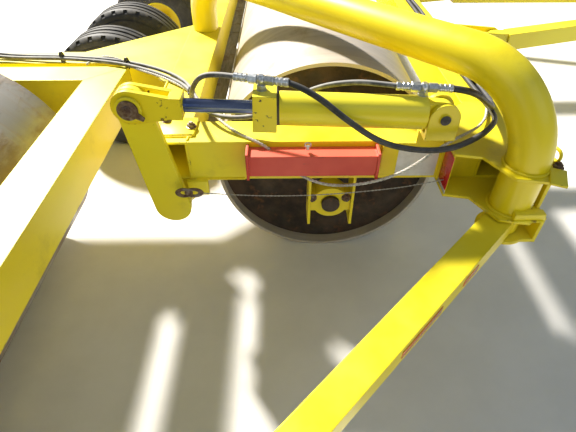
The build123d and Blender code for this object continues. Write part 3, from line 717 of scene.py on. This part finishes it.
def addTee(name, place, seat, body):
    # The ball of a tee and the stem that stands on its port
    stem = place.z - seat
    ball = fitting["ball"]
    middle = [(-ball, ball * 0.55), (-ball * 0.6, ball * 0.9), (0, ball), (ball * 0.6, ball * 0.9),
              (ball, ball * 0.55)]
    parts = [settle(addTurned(middle, 16), place)]
    foot = (place.x, place.y, seat)
    size = fitting["stemNut"]
    nut = [(0, size * 1.15), (0.005, size * 1.15), (0.006, size), (0.020, size), (0.022, size - 0.002)]
    parts.append(settle(addTurned(nut, 6), foot))
    parts.append(settle(addTurned([(0.0, fitting["neck"]), (stem, fitting["neck"])], 16), foot))
    handBoth(name, parts, body, zinc)


# Hoses, rope and wire, each by the control points of its route

teePlace = Vector((-1.517, -2.488, 1.155))
teeWay = Vector((0.964, -0.267, 0.0))
baseTee = Vector((-0.950, -2.470, 1.116))
baseWay = Vector((0.995, -0.10, -0.01))
wingGland = Vector((-3.811, -4.598, 1.150))
wingBase = Vector((-3.811, -4.041, 1.122))
wingWay = Vector((0.35, 0.935, 0.0))
branchReach = 0.090   # from a tee's middle to where its hose comes out

cords = {
    "gland_hose": {
        "points": [
            teePlace - teeWay * branchReach, (-1.672, -2.445, 1.157), (-1.735, -2.428, 1.142),
            (-1.775, -2.400, 1.085), (-1.795, -2.355, 1.010), (-1.808, -2.270, 0.945),
            (-1.830, -2.150, 0.905), (-1.868, -2.020, 0.894), (-1.950, -1.915, 0.892),
            (-2.080, -1.815, 0.893), (-2.250, -1.720, 0.893),
            (-2.430, -1.668, 0.893), (-2.625, -1.640, 0.892),
        ],
        "length": 1.54, "diameter": 0.019, "stiffness": "stiff", "far_end": "fitting",
        "tee": (teePlace, -teeWay),
        "bodies": ("right_lift_cylinder", "centre_frame"),
        "start": (-1.60, -2.47, 1.15), "end": (-1.85, -2.10, 0.90),
    },
    "base_hose": {
        "points": [
            baseTee - baseWay * branchReach, (-1.095, -2.452, 1.120), (-1.190, -2.435, 1.122),
            (-1.320, -2.405, 1.090), (-1.440, -2.382, 1.010), (-1.545, -2.375, 0.955),
            (-1.650, -2.355, 0.935), (-1.740, -2.290, 0.920), (-1.805, -2.170, 0.898),
            (-1.852, -2.035, 0.893), (-1.920, -1.900, 0.891), (-2.050, -1.785, 0.892),
            (-2.240, -1.690, 0.893), (-2.430, -1.640, 0.893), (-2.625, -1.612, 0.891),
        ],
        "length": 1.98, "diameter": 0.019, "stiffness": "stiff", "far_end": "fitting",
        "tee": (baseTee, -baseWay),
        "bodies": ("right_lift_cylinder", "centre_frame"),
        "start": (-1.05, -2.46, 1.11), "end": (-1.80, -2.20, 0.90),
    },
    "tee_feed_hose": {
        "points": [
            teePlace + teeWay * branchReach, (-1.355, -2.533, 1.140), (-1.215, -2.580, 1.040),
            (-1.095, -2.590, 0.962), (-0.960, -2.600, 0.938), (-0.850, -2.605, 0.948),
            (-0.745, -2.565, 0.975), (-0.660, -2.470, 0.965), (-0.590, -2.335, 0.925),
            (-0.560, -2.180, 0.896), (-0.560, -2.020, 0.892), (-0.565, -1.850, 0.892),
        ],
        "length": 1.53, "diameter": 0.022, "stiffness": "stiff", "far_end": "fitting",
        "tee": (teePlace, teeWay),
        "bodies": ("right_lift_cylinder", "centre_frame"),
        "start": (-1.30, -2.55, 1.10), "end": (-0.70, -2.53, 0.96),
    },
    "base_feed_hose": {
        "points": [
            baseTee + baseWay * branchReach, (-0.812, -2.480, 1.110), (-0.745, -2.450, 1.078),
            (-0.690, -2.405, 1.030), (-0.625, -2.345, 0.975), (-0.575, -2.260, 0.925),
            (-0.535, -2.140, 0.900), (-0.530, -2.000, 0.893), (-0.535, -1.850, 0.893),
        ],
        "length": 0.84, "diameter": 0.024, "stiffness": "stiff", "far_end": "fitting",
        "tee": (baseTee, baseWay),
        "bodies": ("right_lift_cylinder", "centre_frame"),
        "start": (-0.85, -2.48, 1.11), "end": (-0.62, -2.34, 0.97),
    },
    "wing_rod_hose": {
        "points": [
            (-2.625, -1.640, 0.892), (-2.800, -1.622, 0.886),
            (-2.960, -1.600, 0.887), (-3.110, -1.590, 0.912),
            (-3.250, -1.600, 0.940), (-3.370, -1.640, 0.944), (-3.475, -1.705, 0.925),
            (-3.570, -1.790, 0.897), (-3.650, -1.920, 0.890), (-3.690, -2.100, 0.889),
            (-3.700, -2.420, 0.889), (-3.700, -2.900, 0.889), (-3.700, -3.400, 0.889),
        ],
        "length": 2.65, "diameter": 0.019, "stiffness": "stiff", "far_end": "object",
        "bodies": ("centre_frame", "right_wing"),
        "start": (-3.20, -1.58, 0.92), "end": (-3.48, -1.72, 0.92),
    },
    "wing_base_hose": {
        "points": [
            (-2.625, -1.612, 0.891), (-2.800, -1.592, 0.886),
            (-2.960, -1.566, 0.887), (-3.110, -1.552, 0.912),
            (-3.260, -1.562, 0.942), (-3.390, -1.605, 0.946), (-3.505, -1.680, 0.925),
            (-3.605, -1.780, 0.897), (-3.685, -1.915, 0.890), (-3.722, -2.100, 0.889),
            (-3.730, -2.420, 0.889), (-3.730, -2.900, 0.889), (-3.730, -3.400, 0.889),
        ],
        "length": 2.70, "diameter": 0.019, "stiffness": "stiff", "far_end": "object",
        "bodies": ("centre_frame", "right_wing"),
        "start": (-3.20, -1.58, 0.92), "end": (-3.48, -1.72, 0.92),
    },
    "wing_gland_end": {
        "points": [
            wingGland + wingWay * branchReach, (-3.765, -4.440, 1.128), (-3.742, -4.300, 1.050),
            (-3.728, -4.100, 0.955), (-3.728, -3.850, 0.902),
            (-3.731, -3.620, 0.889), (-3.730, -3.400, 0.889),
        ],
        "length": 1.17, "diameter": 0.019, "stiffness": "stiff", "far_end": "fitting",
        "tee": (wingGland, wingWay),
        "bodies": ("right_wing_cylinder", "right_wing"),
        "start": (-3.77, -4.45, 1.12), "end": (-3.73, -3.80, 0.90),
    },
    "wing_base_end": {
        "points": [
            wingBase + wingWay * branchReach, (-3.752, -3.890, 1.100), (-3.728, -3.800, 1.030),
            (-3.706, -3.690, 0.945), (-3.699, -3.560, 0.896), (-3.700, -3.400, 0.889),
        ],
        "length": 0.63, "diameter": 0.019, "stiffness": "stiff", "far_end": "fitting",
        "tee": (wingBase, wingWay),
        "bodies": ("right_wing_cylinder", "right_wing"),
        "start": (-3.77, -3.93, 1.12), "end": (-3.70, -3.60, 0.90),
    },
}
trunks = {
    "inner_feed_a": {
        "points": [
            (-0.565, -1.850, 0.892), (-0.572, -1.620, 0.889),
            (-0.560, -1.380, 0.890), (-0.575, -1.120, 0.889),
            (-0.562, -0.850, 0.889), (-0.570, -0.580, 0.890),
            (-0.560, -0.330, 0.896), (-0.560, -0.150, 0.908),
        ],
        "length": 1.70, "diameter": 0.022,
    },
    "inner_feed_b": {
        "points": [
            (-0.535, -1.850, 0.893), (-0.540, -1.640, 0.890),
            (-0.528, -1.400, 0.890), (-0.545, -1.150, 0.890),
            (-0.530, -0.880, 0.890), (-0.540, -0.600, 0.890),
            (-0.524, -0.340, 0.896), (-0.520, -0.150, 0.908),
        ],
        "length": 1.70, "diameter": 0.024,
    },
}
rope = {
    "points": [
        (-2.452, -1.700, 0.884), (-2.425, -1.632, 0.893),
        (-2.337, -1.648, 0.905), (-2.244, -1.700, 0.898),
        (-2.206, -1.748, 0.890), (-2.130, -1.800, 0.889),
        (-2.038, -1.860, 0.890), (-1.900, -1.980, 0.888),
        (-1.800, -2.120, 0.886), (-1.715, -2.270, 0.885),
        (-1.630, -2.380, 0.885), (-1.560, -2.436, 0.886),
        (-1.500, -2.455, 0.860), (-1.440, -2.462, 0.790),
        (-1.360, -2.485, 0.735), (-1.250, -2.515, 0.715),
        (-1.100, -2.525, 0.738), (-0.985, -2.540, 0.800),
        (-0.910, -2.555, 0.885), (-0.830, -2.520, 0.925),
        (-0.740, -2.455, 0.922), (-0.660, -2.380, 0.910),
        (-0.590, -2.270, 0.901), (-0.550, -2.150, 0.889),
    ],
    "length": 2.60, "diameter": 0.013, "strands": 3, "pitch": 0.045,
}
wire = {
    "points": [
        (-0.813, -2.530, 0.757), (-0.900, -2.532, 0.738),
        (-1.000, -2.536, 0.720), (-1.240, -2.538, 0.694),
        (-1.450, -2.538, 0.686), (-1.640, -2.534, 0.690), (-1.785, -2.530, 0.701),
    ],
    "length": 0.975, "diameter": 0.005, "strands": 2, "pitch": 0.03,
}


def layRoute(name, points):
    data = bpy.data.curves.new(name, "CURVE")
    data.dimensions = "3D"
    spline = data.splines.new("NURBS")
    spline.points.add(len(points) - 1)
    for control, place in zip(spline.points, points):
        control.co = (*place, 1)
    spline.order_u = 3
    spline.use_endpoint_u = True
    spline.resolution_u = 8
    route = bpy.data.objects.new(name, data)
    bpy.context.scene.collection.objects.link(route)
    return route


def lineOf(route):
    mesh = bpy.data.meshes.new_from_object(route)
    line = [vertex.co.copy() for vertex in mesh.vertices]
    bpy.data.meshes.remove(mesh)
    return line


def lengthOf(line):
    return sum((b - a).length for a, b in zip(line, line[1:]))


def thicken(route, radius, rounds=3):
    route.data.bevel_depth = radius
    route.data.bevel_resolution = rounds
    route.data.use_fill_caps = True
    pickOnly(route)
    bpy.ops.object.convert(target="MESH")
    piece = bpy.context.object
    bpy.ops.object.shade_smooth()
    return piece


def twistStrands(name, line, facts):
    # Strands wind round the route, carried along it without a twist of their own
    strandRadius = facts["diameter"] / 4 if facts["strands"] == 2 else facts["diameter"] / 4.3
    offset = facts["diameter"] / 2 - strandRadius
    way = (line[1] - line[0]).normalized()
    side = way.cross(Vector((0, 0, 1))).normalized()
    steps = []
    travelled = 0.0
    for first, second in zip(line, line[1:]):
        nextWay = (second - first).normalized()
        side = (side - nextWay * side.dot(nextWay)).normalized()
        count = max(1, round((second - first).length / (facts["pitch"] / 8)))
        for step in range(count):
            share = step / count
            distance = travelled + share * (second - first).length
            steps.append((first.lerp(second, share), side, nextWay, distance))
        travelled += (second - first).length
    steps.append((line[-1], side, nextWay, travelled))
    strands = []
    for strand in range(facts["strands"]):
        data = bpy.data.curves.new(name, "CURVE")
        data.dimensions = "3D"
        spline = data.splines.new("POLY")
        spline.points.add(len(steps) - 1)
        for control, (place, side, nextWay, distance) in zip(spline.points, steps):
            angle = math.tau * (distance / facts["pitch"] + strand / facts["strands"])
            across = nextWay.cross(side)
            spot = place + offset * (math.cos(angle) * side + math.sin(angle) * across)
            control.co = (*spot, 1)
        piece = bpy.data.objects.new(name, data)
        bpy.context.scene.collection.objects.link(piece)
        strands.append(thicken(piece, strandRadius, 1))
    return joinAs(name, strands, 60)


def hangHose(name, facts, side):
    flip = 1 if side == "right" else -1
    points = [(x, y * flip, z) for x, y, z in (tuple(point) for point in facts["points"])]
    route = layRoute(side + "_" + name, points)
    line = lineOf(route)
    print(side, name, "hose", round(lengthOf(line), 3), "m")
    piece = thicken(route, facts["diameter"] / 2)
    piece.data.materials.append(hoseDusty if "feed" not in name else hoseBlack)
    first, second = (body.replace("right_", side + "_") for body in facts["bodies"])
    ends = [(x, y * flip, z) for x, y, z in (facts["start"], facts["end"])]
    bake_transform(piece)
    if "tee" in facts:
        place, way = (Vector((spot.x, spot.y * flip, spot.z)) for spot in facts["tee"])
        addBranch(side + "_" + name + "_fitting", place, way, first)


def hangTrunk(name, facts, side):
    # Tied down along the front beam, from the last tie to the manifold
    flip = 1 if side == "right" else -1
    points = [(x, y * flip, z) for x, y, z in facts["points"]]
    route = layRoute(side + "_" + name, points)
    line = lineOf(route)
    print(side, name, "hose", round(lengthOf(line), 3), "m")
    piece = hand(thicken(route, facts["diameter"] / 2), "centre_frame", hoseBlack)
    place = (points[-1][0], points[-1][1] + 0.08 * flip, points[-1][2])
    end = addBranch(side + "_" + name + "_fitting", place, (0, -flip, 0), "centre_frame")


def hangStrands(name, facts, finish):
    route = layRoute(name + "_route", facts["points"])
    line = lineOf(route)
    print(name, round(lengthOf(line), 3), "m")
    bpy.data.objects.remove(route)
    piece = hand(twistStrands(name, line, facts), "centre_frame", finish)


shackleFacts = {
    "radius": 0.015, "rod": 0.0065, "middle": -0.018, "lean": (0, -1, 0.15),
    "bows": ((0.0, 0.012), (-0.040, 0.010)),  # the place along the wire, and how far each is drawn out
}


def addShackle(place):
    # Two bows at the wire's end, dark with rust
    radius = shackleFacts["radius"]
    rod = shackleFacts["rod"]
    parts = []
    for step, stretch in shackleFacts["bows"]:
        pickOnly()
        bpy.ops.mesh.primitive_torus_add(major_radius=radius, minor_radius=rod,
                                         major_segments=24, minor_segments=10)
        bow = bpy.context.object
        bow.data.transform(Matrix.Diagonal((1 + stretch / radius, 1, 1, 1)))
        spot = (place[0] + step + shackleFacts["middle"], place[1], place[2])
        parts.append(settle(bow, spot, shackleFacts["lean"]))
    piece = joinAs("wire_shackle", parts, 60)
    return hand(piece, "centre_frame", boltFinish)


for side in sides:
    for name, facts in cords.items():
        hangHose(name, facts, side)
    for name, facts in trunks.items():
        hangTrunk(name, facts, side)
tees = {
    "gland_tee": (teePlace, 1.117, "right_lift_cylinder"),
    "base_tee": (baseTee, 1.084, "right_lift_cylinder"),
    "wing_gland_elbow": (wingGland, 1.117, "right_wing_cylinder"),
    "wing_base_elbow": (wingBase, 1.086, "right_wing_cylinder"),
}
for name, (place, seat, body) in tees.items():
    addTee(name, place, seat, body)
hangStrands("pull_rope", rope, fibre)
shackle = addShackle(wire["points"][-1])
hangStrands("lashing_wire", wire, wireFinish)
print("hoses, rope and wire hung")


# Tyres: ribbed tread with notched shoulders on the CAD tyre's outline

tyreFacts = {
    "middle": {"wheel": (-2.595, 0.412), "wing": (-4.065, -5.686, 0.412)},
    "tracks": (-0.450, -0.970),
    "side": [(0.105, 0.190), (0.112, 0.198), (0.126, 0.206), (0.131, 0.222), (0.136, 0.226), (0.139, 0.262),
             (0.140, 0.300), (0.137, 0.335), (0.131, 0.340), (0.131, 0.362), (0.125, 0.376), (0.097, 0.397)],
    "ribs": [(0.090, 0.400), (0.064, 0.400), (0.060, 0.389), (0.050, 0.389), (0.046, 0.400),
             (0.014, 0.400), (0.010, 0.389)],
    "sides": 84, "notch": 0.007, "shoulder": (0.378, 0.395),
}


def addTyre(place, way):
    half = tyreFacts["side"] + tyreFacts["ribs"]
    profile = [(-height, radius) for height, radius in half] + half[::-1] + [(-half[0][0], half[0][1])]
    piece = addTurned(profile, tyreFacts["sides"], solid=False)
    low, high = tyreFacts["shoulder"]
    step = math.tau / tyreFacts["sides"]

    def isNotch(face):
        # Every third block of the shoulder ring is pressed in
        x, y, z = face.center
        if abs(z) < 0.10 or not low < math.hypot(x, y) < high:
            return False
        return int(math.atan2(y, x) / step + tyreFacts["sides"]) % 3 == 0

    chooseFaces(piece, isNotch)
    bpy.ops.mesh.inset(thickness=0.0025, use_individual=True)
    bpy.ops.transform.shrink_fatten(value=-tyreFacts["notch"])
    bpy.ops.object.mode_set(mode="OBJECT")
    return settle(piece, place, way)


def addTyres():
    x, z = tyreFacts["middle"]["wheel"]
    for side, sign in sides.items():
        flip = -sign
        twins = [addTyre((x, track * flip, z), (0, 1, 0)) for track in tyreFacts["tracks"]]
        pair = hand(joinAs(side + "_ribbed_tyres", twins, 40), side + "_wheels", rubber)
        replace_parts(pair, side + "_wheel_tyres")
        across, along, height = tyreFacts["middle"]["wing"]
        single = joinAs(side + "_ribbed_wing_tyre", [addTyre((across, along * flip, height), (1, 0, 0))], 40)
        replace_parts(hand(single, side + "_wing_wheel", rubber), side + "_wing_tyre")


addTyres()
print("tyres built")


# Plates: the blank label, the reflector and small welded tabs

plates = {
    "label": {"centre": (-0.910, -2.4592, 0.7885), "size": (0.162, 0.0024, 0.123), "bevel": 0.0008},
    "redStrip": {"centre": (-0.8085, -2.512, 0.800), "size": (0.003, 0.090, 0.150), "bevel": 0.001},
    "whiteStrip": {"centre": (-0.8085, -2.512, 0.716), "size": (0.003, 0.090, 0.018), "bevel": 0.001},
    "amberShort": {"centre": (-0.800, -2.9215, 0.640), "size": (0.100, 0.003, 0.034), "bevel": 0.001,
                   "turn": (0, 0, math.radians(45))},
    "amberLong": {"centre": (-1.020, -3.1415, 0.640), "size": (0.230, 0.003, 0.034), "bevel": 0.001,
                  "turn": (0, 0, math.radians(45))},
    "pad": {"centre": (-1.870, -2.331, 0.8835), "size": (0.148, 0.132, 0.012), "bevel": 0.002},
    "cornerTab": {"centre": (-0.500, -2.705, 0.895), "size": (0.055, 0.100, 0.010), "bevel": 0.002,
                  "turn": (0, 0, -0.42)},
    "stop": {"centre": (-0.535, -2.698, 0.716), "size": (0.115, 0.034, 0.032), "bevel": 0.003},
    "wireLug": {"centre": (-1.800, -2.450, 0.668), "size": (0.085, 0.020, 0.070), "bevel": 0.003},
}


def plate(name):
    facts = plates[name]
    return addBlock(facts["centre"], facts["size"], facts["bevel"], facts.get("turn", (0, 0, 0)))


handBoth("blank_label", [plate("label")], "centre_frame", plateFinish)
handBoth("red_strip", [plate("redStrip")], "centre_frame", redLens)
amber = [plate(name) for name in ("amberShort", "amberLong")]
handBoth("amber_strips", amber, "right_pole", amberLens)
handBoth("white_strip", [plate("whiteStrip")], "centre_frame", whiteLens)
tabs = [plate(name) for name in ("pad", "cornerTab", "stop", "wireLug")]
handBoth("welded_tabs", tabs, "centre_frame", yellow)
print("plates placed")


# Bolts and pins: one of each is modelled, then copied to its places

boltSizes = {"head": 0.017, "height": 0.012, "washer": 0.021, "shank": 0.009, "proud": 0.010}


def addBolt():
    head = boltSizes["head"]
    washer = boltSizes["washer"]
    height = boltSizes["height"]
    disc = addTurned([(-0.002, washer), (0.0025, washer), (0.003, washer - 0.001)], 20)
    hexagon = addTurned([(0.003, head), (height, head), (height + 0.002, head * 0.88)], 6)
    top = height + boltSizes["proud"]
    shank = boltSizes["shank"]
    end = addTurned([(height, shank), (top - 0.002, shank), (top, shank - 0.002)], 12)
    return joinAs("bolt", [disc, hexagon, end])


boltPlaces = {
    "centre_frame": [
        ((-1.318, -2.400, 0.563), (0, -1, 0)), ((-1.166, -2.400, 0.563), (0, -1, 0)),
        ((-1.815, -2.340, 0.8905), (0, 0, 1)), ((-1.925, -2.290, 0.8905), (0, 0, 1)),
        ((-0.470, -2.640, 0.891), (0, 0, 1)),
    ],
}


def addBolts():
    bolt = addBolt()
    for body, spots in boltPlaces.items():
        parts = [placeCopy(bolt, place, way, 0.35 * index) for index, (place, way) in enumerate(spots)]
        handBoth(body.replace("right_", "") + "_bolts", parts, body, boltFinish)
    bpy.data.objects.remove(bolt)


addBolts()

pinHead = {
    "place": (-1.975, -2.538, 1.070), "radius": 0.036, "thick": 0.010, "tail": 0.062,
    "dome": (0.020, 0.014, 0.006), "turn": -35,
}


def addPinHead():
    # A flat teardrop washer under a domed pin end
    thick = pinHead["thick"]
    radius = pinHead["radius"]
    disc = addTurned([(0, radius), (thick - 0.002, radius), (thick, radius - 0.002)], 40)
    chooseFaces(disc, lambda face: abs(face.normal.z) < 0.5 and face.center.x > radius * 0.94)
    reach = {"value": (pinHead["tail"] - radius, 0, 0)}
    bpy.ops.mesh.extrude_region_move(TRANSFORM_OT_translate=reach)
    bpy.ops.transform.resize(value=(1, 0.6, 1), center_override=(pinHead["tail"], 0, thick / 2))
    bpy.ops.object.mode_set(mode="OBJECT")
    wide, sloped, top = pinHead["dome"]
    domed = [(0, wide), (thick + 0.004, wide), (thick + 0.010, sloped), (thick + 0.012, top)]
    dome = addTurned(domed, 24)
    turnDown = math.radians(pinHead["turn"])
    piece = joinAs("pin", [disc, dome], 25)
    piece.data.transform(Matrix.Rotation(math.radians(90), 4, "X") @ Matrix.Rotation(turnDown, 4, "Z"))
    piece.data.transform(Matrix.Translation(pinHead["place"]))
    return piece


handBoth("lever_pin_head", [addPinHead()], "rockshaft", boltFinish)


def addRing(place, radius, thick, way, stretch=0.0):
    pickOnly()
    bpy.ops.mesh.primitive_torus_add(major_radius=radius, minor_radius=thick,
                                     major_segments=28, minor_segments=10)
    piece = bpy.context.object
    if stretch:
        chooseFaces(piece, lambda face: face.center.x > 0)
        bpy.ops.transform.translate(value=(stretch, 0, 0))
        bpy.ops.object.mode_set(mode="OBJECT")
    return settle(piece, place, way)


# A thin black disc on the face is painted shade, standing for the dark inside of the pin's recess
recess = {
    "from": (-0.875, -2.5445, 1.0265), "to": (-0.875, -2.5478, 1.0265),
    "radius": 0.0185, "corners": 28, "bevel": 0.0008,
}
shadeDisc = addRod(recess["from"], recess["to"], recess["radius"], recess["corners"], recess["bevel"])
handBoth("base_pin_recess", [shadeDisc], "centre_frame", plastic)

manifold = {
    "centre": (-0.540, 0, 0.908), "size": (0.100, 0.160, 0.060), "bevel": 0.004,
    "capX": (-0.565, -0.515), "capY": (-0.045, 0.045), "capZ": (0.937, 0.950), "capRadius": 0.011,
}


def addManifold():
    # A block across the front beam's middle, where both sides' feed hoses meet
    body = addBlock(manifold["centre"], manifold["size"], manifold["bevel"])
    low, high = manifold["capZ"]
    caps = [addRod((x, y, low), (x, y, high), manifold["capRadius"], 6)
            for x in manifold["capX"] for y in manifold["capY"]]
    return hand(joinAs("feed_manifold", [body] + caps), "centre_frame", zinc)


addManifold()

rings = {
    "corner": {
        "middle": (-0.470, -2.600, 0.918), "radius": 0.024, "wire": 0.006, "way": (1, 0.3, 0),
        "stretch": 0.010,
        "foot": (-0.470, -2.600, 0.886), "top": (-0.470, -2.600, 0.900), "stem": 0.014,
    },
    "lock": {
        "middle": (-1.350, -2.478, 0.888), "radius": 0.012, "wire": 0.0028, "way": (0, 1, 0.2),
        "stretch": 0.0,
        "foot": (-1.350, -2.478, 0.866), "top": (-1.350, -2.478, 0.884), "stem": 0.008,
    },
}


def ringAndStem(name):
    facts = rings[name]
    ring = addRing(facts["middle"], facts["radius"], facts["wire"], facts["way"], facts["stretch"])
    return [ring, addRod(facts["foot"], facts["top"], facts["stem"])]


handBoth("corner_ring", ringAndStem("corner"), "centre_frame", yellow)
handBoth("lock_pin", ringAndStem("lock"), "centre_frame", zinc)
print("bolts and pins placed")


# Weld beads: flattened drops repeated along a seam by an Array

beadFacts = {"drop": 0.0065, "pitch": 0.0062}


def addBead(start, end):
    drop = beadFacts["drop"]
    pickOnly()
    bpy.ops.mesh.primitive_uv_sphere_add(segments=8, ring_count=6, radius=drop,
                                         location=start, scale=(1, 1, 0.8))
    piece = bpy.context.object
    bpy.ops.object.transform_apply(location=True, rotation=True, scale=True)
    way = Vector(end) - Vector(start)
    row = piece.modifiers.new("row", "ARRAY")
    row.use_relative_offset = False
    row.use_constant_offset = True
    row.constant_offset_displace = way.normalized() * beadFacts["pitch"]
    row.count = max(2, round(way.length / beadFacts["pitch"]))
    pickOnly(piece)
    bpy.ops.object.modifier_apply(modifier="row")
    return piece


def addRingBead(centre, radius, count):
    drop = beadFacts["drop"]
    drops = []
    for step in range(count):
        angle = math.tau * step / count
        spot = (centre[0] + radius * math.cos(angle), centre[1] + radius * math.sin(angle), centre[2])
        pickOnly()
        bpy.ops.mesh.primitive_uv_sphere_add(segments=8, ring_count=6, radius=drop * 1.1, location=spot)
        bpy.ops.object.transform_apply(location=True)
        drops.append(bpy.context.object)
    return joinAs("ring_bead", drops, 60)


seams = [
    ((-1.998, -2.260, 0.879), (-1.998, -1.900, 0.879)), ((-1.820, -2.255, 0.879), (-1.820, -2.430, 0.879)),
    ((-0.650, -2.255, 0.879), (-0.650, -2.430, 0.879)), ((-1.800, -2.439, 0.702), (-1.600, -2.439, 0.702)),
    ((-0.990, -2.440, 0.876), (-0.830, -2.440, 0.876)), ((-0.812, -2.460, 0.886), (-0.812, -2.460, 0.710)),
    ((-0.590, -2.716, 0.701), (-0.480, -2.716, 0.701)), ((-1.944, -2.399, 0.880), (-1.800, -2.399, 0.880)),
]
pipeFoot = {"middle": (-0.571, -2.617), "radius": 0.079, "heights": (0.892, 0.702), "count": 84}


def addWelds():
    beads = [addBead(start, end) for start, end in seams]
    for height in pipeFoot["heights"]:
        beads.append(addRingBead((*pipeFoot["middle"], height), pipeFoot["radius"], pipeFoot["count"]))
    handBoth("weld_beads", beads, "centre_frame", weldFinish, 60)


addWelds()
print("welds laid")


# Cable ties round the hose pairs

ties = {
    "centre_frame": [((-1.858, -2.045, 0.893), (-0.55, 0.84, 0)), ((-2.600, -1.628, 0.892), (-1, 0.15, 0)),
                     ((-0.548, -1.960, 0.893), (0, 1, 0)), ((-2.240, -1.708, 0.893), (-0.9, 0.35, 0))],
    "right_wing": [((-3.715, -2.300, 0.889), (0, -1, 0)), ((-3.715, -2.850, 0.889), (0, -1, 0)),
                   ((-3.715, -3.340, 0.889), (0, -1, 0))],
}
tieFacts = {
    "band": [(-0.007, 0.0200), (-0.006, 0.0210), (0.006, 0.0210), (0.007, 0.0200)],
    "widen": (0.72, 1.5), "lugPlace": (0.016, 0, 0), "lugSize": (0.008, 0.010, 0.012),
}


def addTie(place, way):
    # A band round both hoses, wider across the pair than it is high
    band = addTurned(tieFacts["band"], 20)
    band.data.transform(Matrix.Diagonal((*tieFacts["widen"], 1, 1)))
    lug = addBlock(tieFacts["lugPlace"], tieFacts["lugSize"], 0.002)
    return settle(joinAs("tie", [band, lug]), place, way)


for body, spots in ties.items():
    parts = [addTie(place, way) for place, way in spots]
    handBoth(body.replace("right_", "") + "_ties", parts, body, plastic)
print("ties placed")


# Floor

floorFacts = {"size": 60.0}


def addFloor():
    bpy.ops.object.select_all(action="DESELECT")
    bpy.ops.mesh.primitive_plane_add(size=floorFacts["size"], location=(cadLow.x / 2, 0, cadLow.z))
    floor = bpy.context.object
    floor.name = "floor"
    bpy.ops.object.transform_apply(location=True)
    made = Finish("floorPale")
    grain = made.noise(3.0, 6, 0.6)
    colour = made.mix(made.ramp(grain, 0.3, 0.7), (0.80, 0.79, 0.77), (0.86, 0.85, 0.83))
    floor.data.materials.append(made.paint(colour=colour, rough=0.85, specular=0.2))


addFloor()
